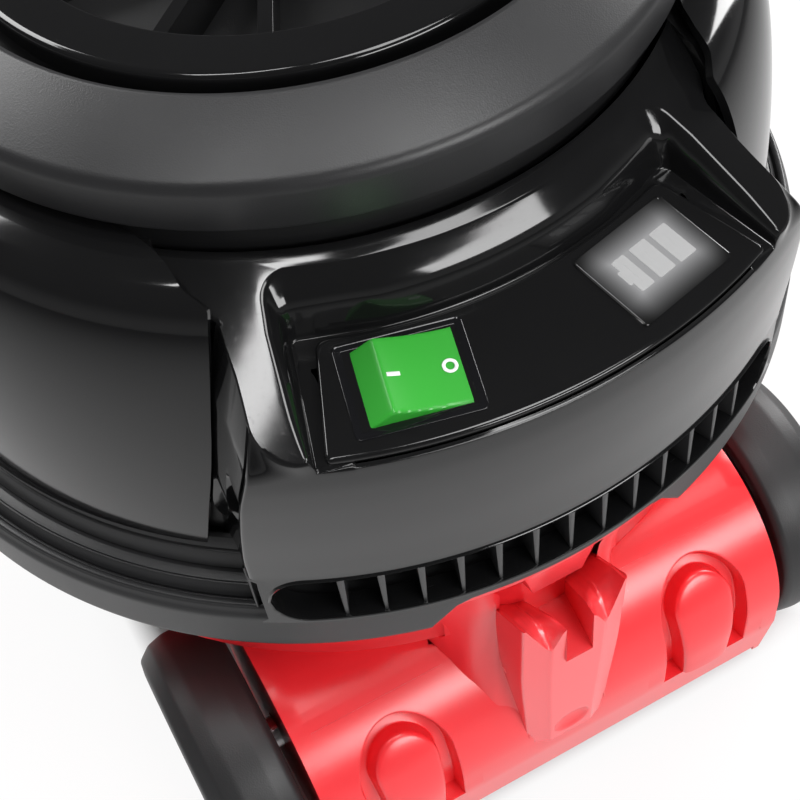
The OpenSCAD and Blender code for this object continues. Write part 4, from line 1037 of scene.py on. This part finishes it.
def covered(c):
    """True for the solid housing's faces, by their middle, that the parks' tiles and the slopes replace."""
    in_tile = abs(abs(c.x) - PARK_X) < TILE_HALF and TILE_Z0 < c.z < TILE_Z1
    outer = math.hypot(c.y - AXLE_Y, max(c.z - AXLE_Z, 0)) > HOUSING_R - 9.0
    in_column = abs(c.x) < 44 and c.z > 93.5
    return in_tile and outer or in_column and (math.hypot(c.x, c.y) > 144 or abs(c.x) > 33 and c.y > 120)


tile_x = (PARK_X - TILE_HALF, PARK_X + TILE_HALF)
tile_edges = [((side * x, 0, 0), (1, 0, 0)) for side in (1, -1) for x in tile_x]
tile_edges += [((0, 0, z), (0, 0, 1)) for z in (TILE_Z0, TILE_Z1)]
refined("rear_housing", "red_plastic", BASE, bevel=0.7, planes=tile_edges, drop=covered)

# ---- Tool dock ----
DOCK_HALF, DOCK_FOOT_HALF, DOCK_BREAK, DOCK_FOOT, DOCK_ROUND = 19.0, 16.4, 9.2, 48.4, 1.2
SLOT_HALF, SLOT_FLOOR = 4.9, 116.0
PRONG_X, PRONG_Z = (SLOT_HALF, 6.2, 9.6, 11.2, 17.8), (138.0, 136.6, 128.0, 128.6, 144.5)
WALL_BACK, WALL_BACK_Z = 132.0, 121.0


def dock_narrow(z):
    """Share of the full width that is left at height z: the dock narrows towards its foot."""
    return DOCK_FOOT_HALF / DOCK_HALF + (1 - DOCK_FOOT_HALF / DOCK_HALF) * smoothstep(DOCK_FOOT, 112.0, z)


def dock_front(x, z):
    """Front of the dock: a flat middle between two facets, leaning out towards the top, with an oval
    dimple (1 - u^2 - v^2)^0.7 near the foot."""
    x, z = np.broadcast_arrays(np.asarray(x, float), np.asarray(z, float))
    side = np.maximum(np.abs(x) - DOCK_BREAK, 0)
    soft = side * 0.36 * smoothstep(0, 1.6, side)
    dimple = np.clip(1 - (x / 8.0) ** 2 - ((z - 58.5) / 6.5) ** 2, 0, 1)
    return 162.6 + 4.6 * (z - DOCK_FOOT) / 90.0 - soft - 2.2 * dimple ** 0.7


def dock_column(x, z):
    """Points of the front up the line x, at heights z."""
    return np.stack([x * dock_narrow(z), dock_front(x, z), z], -1)


def dock():
    """Dock: front with a slot, sides, and two prongs whose tops rise towards the front, crowned
    across, and turn down there to an edge that dips between its corners."""
    piece = Piece("tool_dock_moulding")
    edge_x = DOCK_HALF - DOCK_ROUND
    x_out = np.r_[np.linspace(edge_x, DOCK_BREAK, 18), np.linspace(DOCK_BREAK, SLOT_HALF, 10)[1:]]
    top = np.interp(x_out, PRONG_X, PRONG_Z)
    top = np.r_[top[0], (top[:-2] + 2 * top[1:-1] + top[2:]) / 4, top[-1]]
    low = np.r_[np.linspace(DOCK_FOOT, 72, 36), np.linspace(72, SLOT_FLOOR, 12)[1:]]
    face = np.array([dock_column(x, np.r_[low, np.linspace(SLOT_FLOOR, z1, 10)[1:]])
                     for x, z1 in zip(x_out, top)])
    # rounded corner into the side wall
    z = face[0, :, 2]
    corner = []
    for turn in np.linspace(0, math.pi / 2, 6)[1:]:
        x = edge_x + DOCK_ROUND * math.sin(turn)
        y = dock_front(edge_x, z) - 1.6 * (1 - math.cos(turn))
        corner.append(np.stack([x * dock_narrow(z), y, z], -1))
    wall = []
    for s in np.linspace(0, 1, 12)[1:]:
        y = corner[-1][:, 1] * (1 - s) + WALL_BACK * s
        rim = z[-1] + (WALL_BACK_Z - z[-1]) * s
        level = DOCK_FOOT + (z - DOCK_FOOT) * (rim - DOCK_FOOT) / (z[-1] - DOCK_FOOT)
        wall.append(np.stack([DOCK_HALF * dock_narrow(z), y, level], -1))
    piece.pair(np.array(wall[::-1] + corner[::-1] + list(face)), (0.6, 1, 0))
    middle = [dock_column(x, low) for x in np.linspace(SLOT_HALF, -SLOT_HALF, 13)]
    piece.skin(middle, (0, 1, 0))
    # prong tops, slot walls and slot floor
    front = np.concatenate([np.array(corner[::-1])[:, -1], face[:, -1]])
    u = (DOCK_HALF - front[:, 0]) / (DOCK_HALF - SLOT_HALF)
    back = np.stack([DOCK_HALF - 11.0 * u, WALL_BACK + 10.0 * u, WALL_BACK_Z + u], -1)
    crown = back + 0.74 * (front - back)
    crown[:, 2] += np.interp(u, [0, 0.06, 0.25, 0.6, 0.85, 1], [0, 1.2, 5.0, 10.5, 6.0, 2.5])
    prong = np.array([fillet(line, [0, 7, 0], 10, 4) for line in zip(back, crown, front)])
    piece.pair(prong, (0, 0, 1))
    inner, floor = prong[-1], np.full(len(prong[-1]), SLOT_FLOOR)
    slot = [inner, inner - (0, 0, 0.6), np.c_[inner[:, :2], floor], np.c_[0 * floor, inner[:, 1], floor]]
    piece.pair(np.array(slot), (-1, 0, 1))
    # plate behind the slot, up to the rim, and its cheeks: half width, y and z of each level
    spans = ((6.0, 143.0, 130.0), (7.2, 149.0, 139.0), (8.4, 153.0, 142.6), (8.8, 153.8, 144.0),
             (12.4, 155.2, 158.0), (13.6, 155.4, 168.5))
    piece.skin([[(w, y, z) for w in np.linspace(-half, half, 8)] for half, y, z in spans], (0, 1, 0.2))
    piece.pair(np.array([[(w, y, z), (w + 2.5, 141.0, z)] for w, y, z in spans[2:]]), (1, 0.3, 0))
    return piece


dock().make("red_plastic", BASE, "tool_dock", material=dock_red_painted_light, sharp=42)

refined("battery_grip", "satin_black", "battery", material=SLOT_FINISH["gloss_black"], bevel=1.2, segments=3)

# ---- Floor, light and camera ----


def camera():
    """The camera, above and behind the cleaner's left side, turned about its line of sight."""
    x, y, z = 0.12004, 0.34726, 0.5559
    az, el, roll = (math.radians(a) for a in (158.37, 53.84, -8.21))
    back = Vector((math.sin(az) * math.cos(el), -math.cos(az) * math.cos(el), math.sin(el)))
    across = (-back).cross(Vector((0, 0, 1))).normalized()
    above = across.cross(-back)
    right = across * math.cos(roll) + above * math.sin(roll)
    up = -across * math.sin(roll) + above * math.cos(roll)
    data = bpy.data.cameras.new("camera")
    data.sensor_width, data.lens = 36.0, 67.66
    cam = bpy.data.objects.new("camera", data)
    cam.matrix_world = Matrix(((right.x, up.x, back.x, x),
                               (right.y, up.y, back.y, y),
                               (right.z, up.z, back.z, z),
                               (0, 0, 0, 1)))
    bpy.context.scene.collection.objects.link(cam)
    bpy.context.scene.camera = cam


camera()


def area_light(name, place, target, size, power):
    """A soft rectangular lamp aimed at a point."""
    data = bpy.data.lights.new(name, "AREA")
    data.shape, data.size, data.size_y, data.energy = "RECTANGLE", size[0], size[1], power
    lamp = bpy.data.objects.new(name, data)
    lamp.location = place
    lamp.rotation_euler = (Vector(target) - Vector(place)).to_track_quat("-Z", "Y").to_euler()
    bpy.context.scene.collection.objects.link(lamp)


area_light("strip", (0.37, 0.17, 1.52), (0.07, 0.11, 0.26), (0.10, 0.60), 3.2)
area_light("key", (-1.40, -0.42, 0.78), (0, 0.05, 0.2), (0.7, 0.7), 23)
area_light("back", (0.55, -1.00, 1.25), (0, 0, 0.2), (0.9, 0.6), 17)
area_light("top", (-0.26, 0.42, 1.50), (0, 0.1, 0.3), (0.5, 0.5), 7.0)
area_light("rear", (-0.42, 1.45, 0.85), (0, 0.1, 0.12), (0.85, 0.45), 13.5)

plane = bpy.data.meshes.new("floor")
FLOOR_HALF = 6.0
corners = [(x * FLOOR_HALF, y * FLOOR_HALF, 0) for x, y in ((-1, -1), (1, -1), (1, 1), (-1, 1))]
plane.from_pydata(corners, [], [(0, 1, 2, 3)])
floor = bpy.data.objects.new("floor", plane)
bpy.context.scene.collection.objects.link(floor)


def seen(tree):
    """1 for glossy rays, and 1 for camera, glossy and transmission rays, which see the white
    background, else 0."""
    path = tree.nodes.new("ShaderNodeLightPath")
    rays = ("Is Camera Ray", "Is Glossy Ray", "Is Transmission Ray")
    eye, glossy, through = (Sock(tree, path.outputs[ray]) for ray in rays)
    return glossy, (eye + glossy + through).clamped()


def paper():
    """White floor that keeps the object's shadow: inside a box under the cleaner only the lamps light it, so
    that it is darker there, a painted shadow besides the lamps' own; around it nine tenths white by itself,
    which glossy rays see less of the further it lies."""
    f = Finish("floor_paper", roughness=0.9)
    f.set("Base Color", f.mix(f.noise(3.0), (0.84, 0.84, 0.84), (0.86, 0.86, 0.86)))
    glow = f.tree.nodes.new("ShaderNodeEmission")
    both = f.tree.nodes.new("ShaderNodeMixShader")
    out_x = f.reach(f.place(), (1.0, 0.0, 0.0))
    out_y = f.reach(f.place(), (0.0, 1.0, 0.0))
    # inside a box round the cleaner's footprint the floor is not white by itself, only lit by the lamps: a
    # painted shadow there
    beyond_y = (out_y - 0.145).at_least(-0.125 - out_y)
    clear = ((abs(out_x) - 0.112).at_least(beyond_y) / 0.012).clamped()
    near = 1.0 / ((out_x * out_x + out_y * out_y) / 0.42 + 1.0)
    glossy, all_seen = seen(f.tree)
    f.tree.links.new((all_seen * 0.90 * clear).out, both.inputs[0])
    f.tree.links.new((all_seen - glossy * (1.0 - near)).out, glow.inputs["Strength"])
    f.tree.links.new(f.shader.outputs[0], both.inputs[1])
    f.tree.links.new(glow.outputs[0], both.inputs[2])
    f.tree.links.new(both.outputs[0], f.tree.nodes["Material Output"].inputs[0])
    return f.material


plane.materials.append(paper())

world = bpy.data.worlds.new("studio")
world.use_nodes = True
bpy.context.scene.world = world
tree = world.node_tree
height = tree.nodes.new("ShaderNodeSeparateXYZ")
tree.links.new(tree.nodes.new("ShaderNodeTexCoord").outputs["Generated"], height.inputs[0])
glossy, all_seen = seen(tree)
# glossy rays see a white wall low down and little above it; other rays light the object evenly
wall = ((0.30 - Sock(tree, height.outputs[2])) / 0.22).clamped()
level = all_seen - glossy * (1.0 - wall * 0.22) * 0.94 + (1.0 - all_seen) * 0.34
tree.links.new(level.out, tree.nodes["Background"].inputs[1])
tree.nodes["Background"].inputs[0].default_value = (1, 1, 1, 1)
bpy.context.scene.view_settings.view_transform = "Standard"

# every other CAD node keeps its solid and gets its slot's finish
for row in frame["record"]["subparts"]:
    obj = frame["nodes"][row["node"]]
    obj.data.materials.clear()
    obj.data.materials.append(SLOT_FINISH[row["material_slot"]])
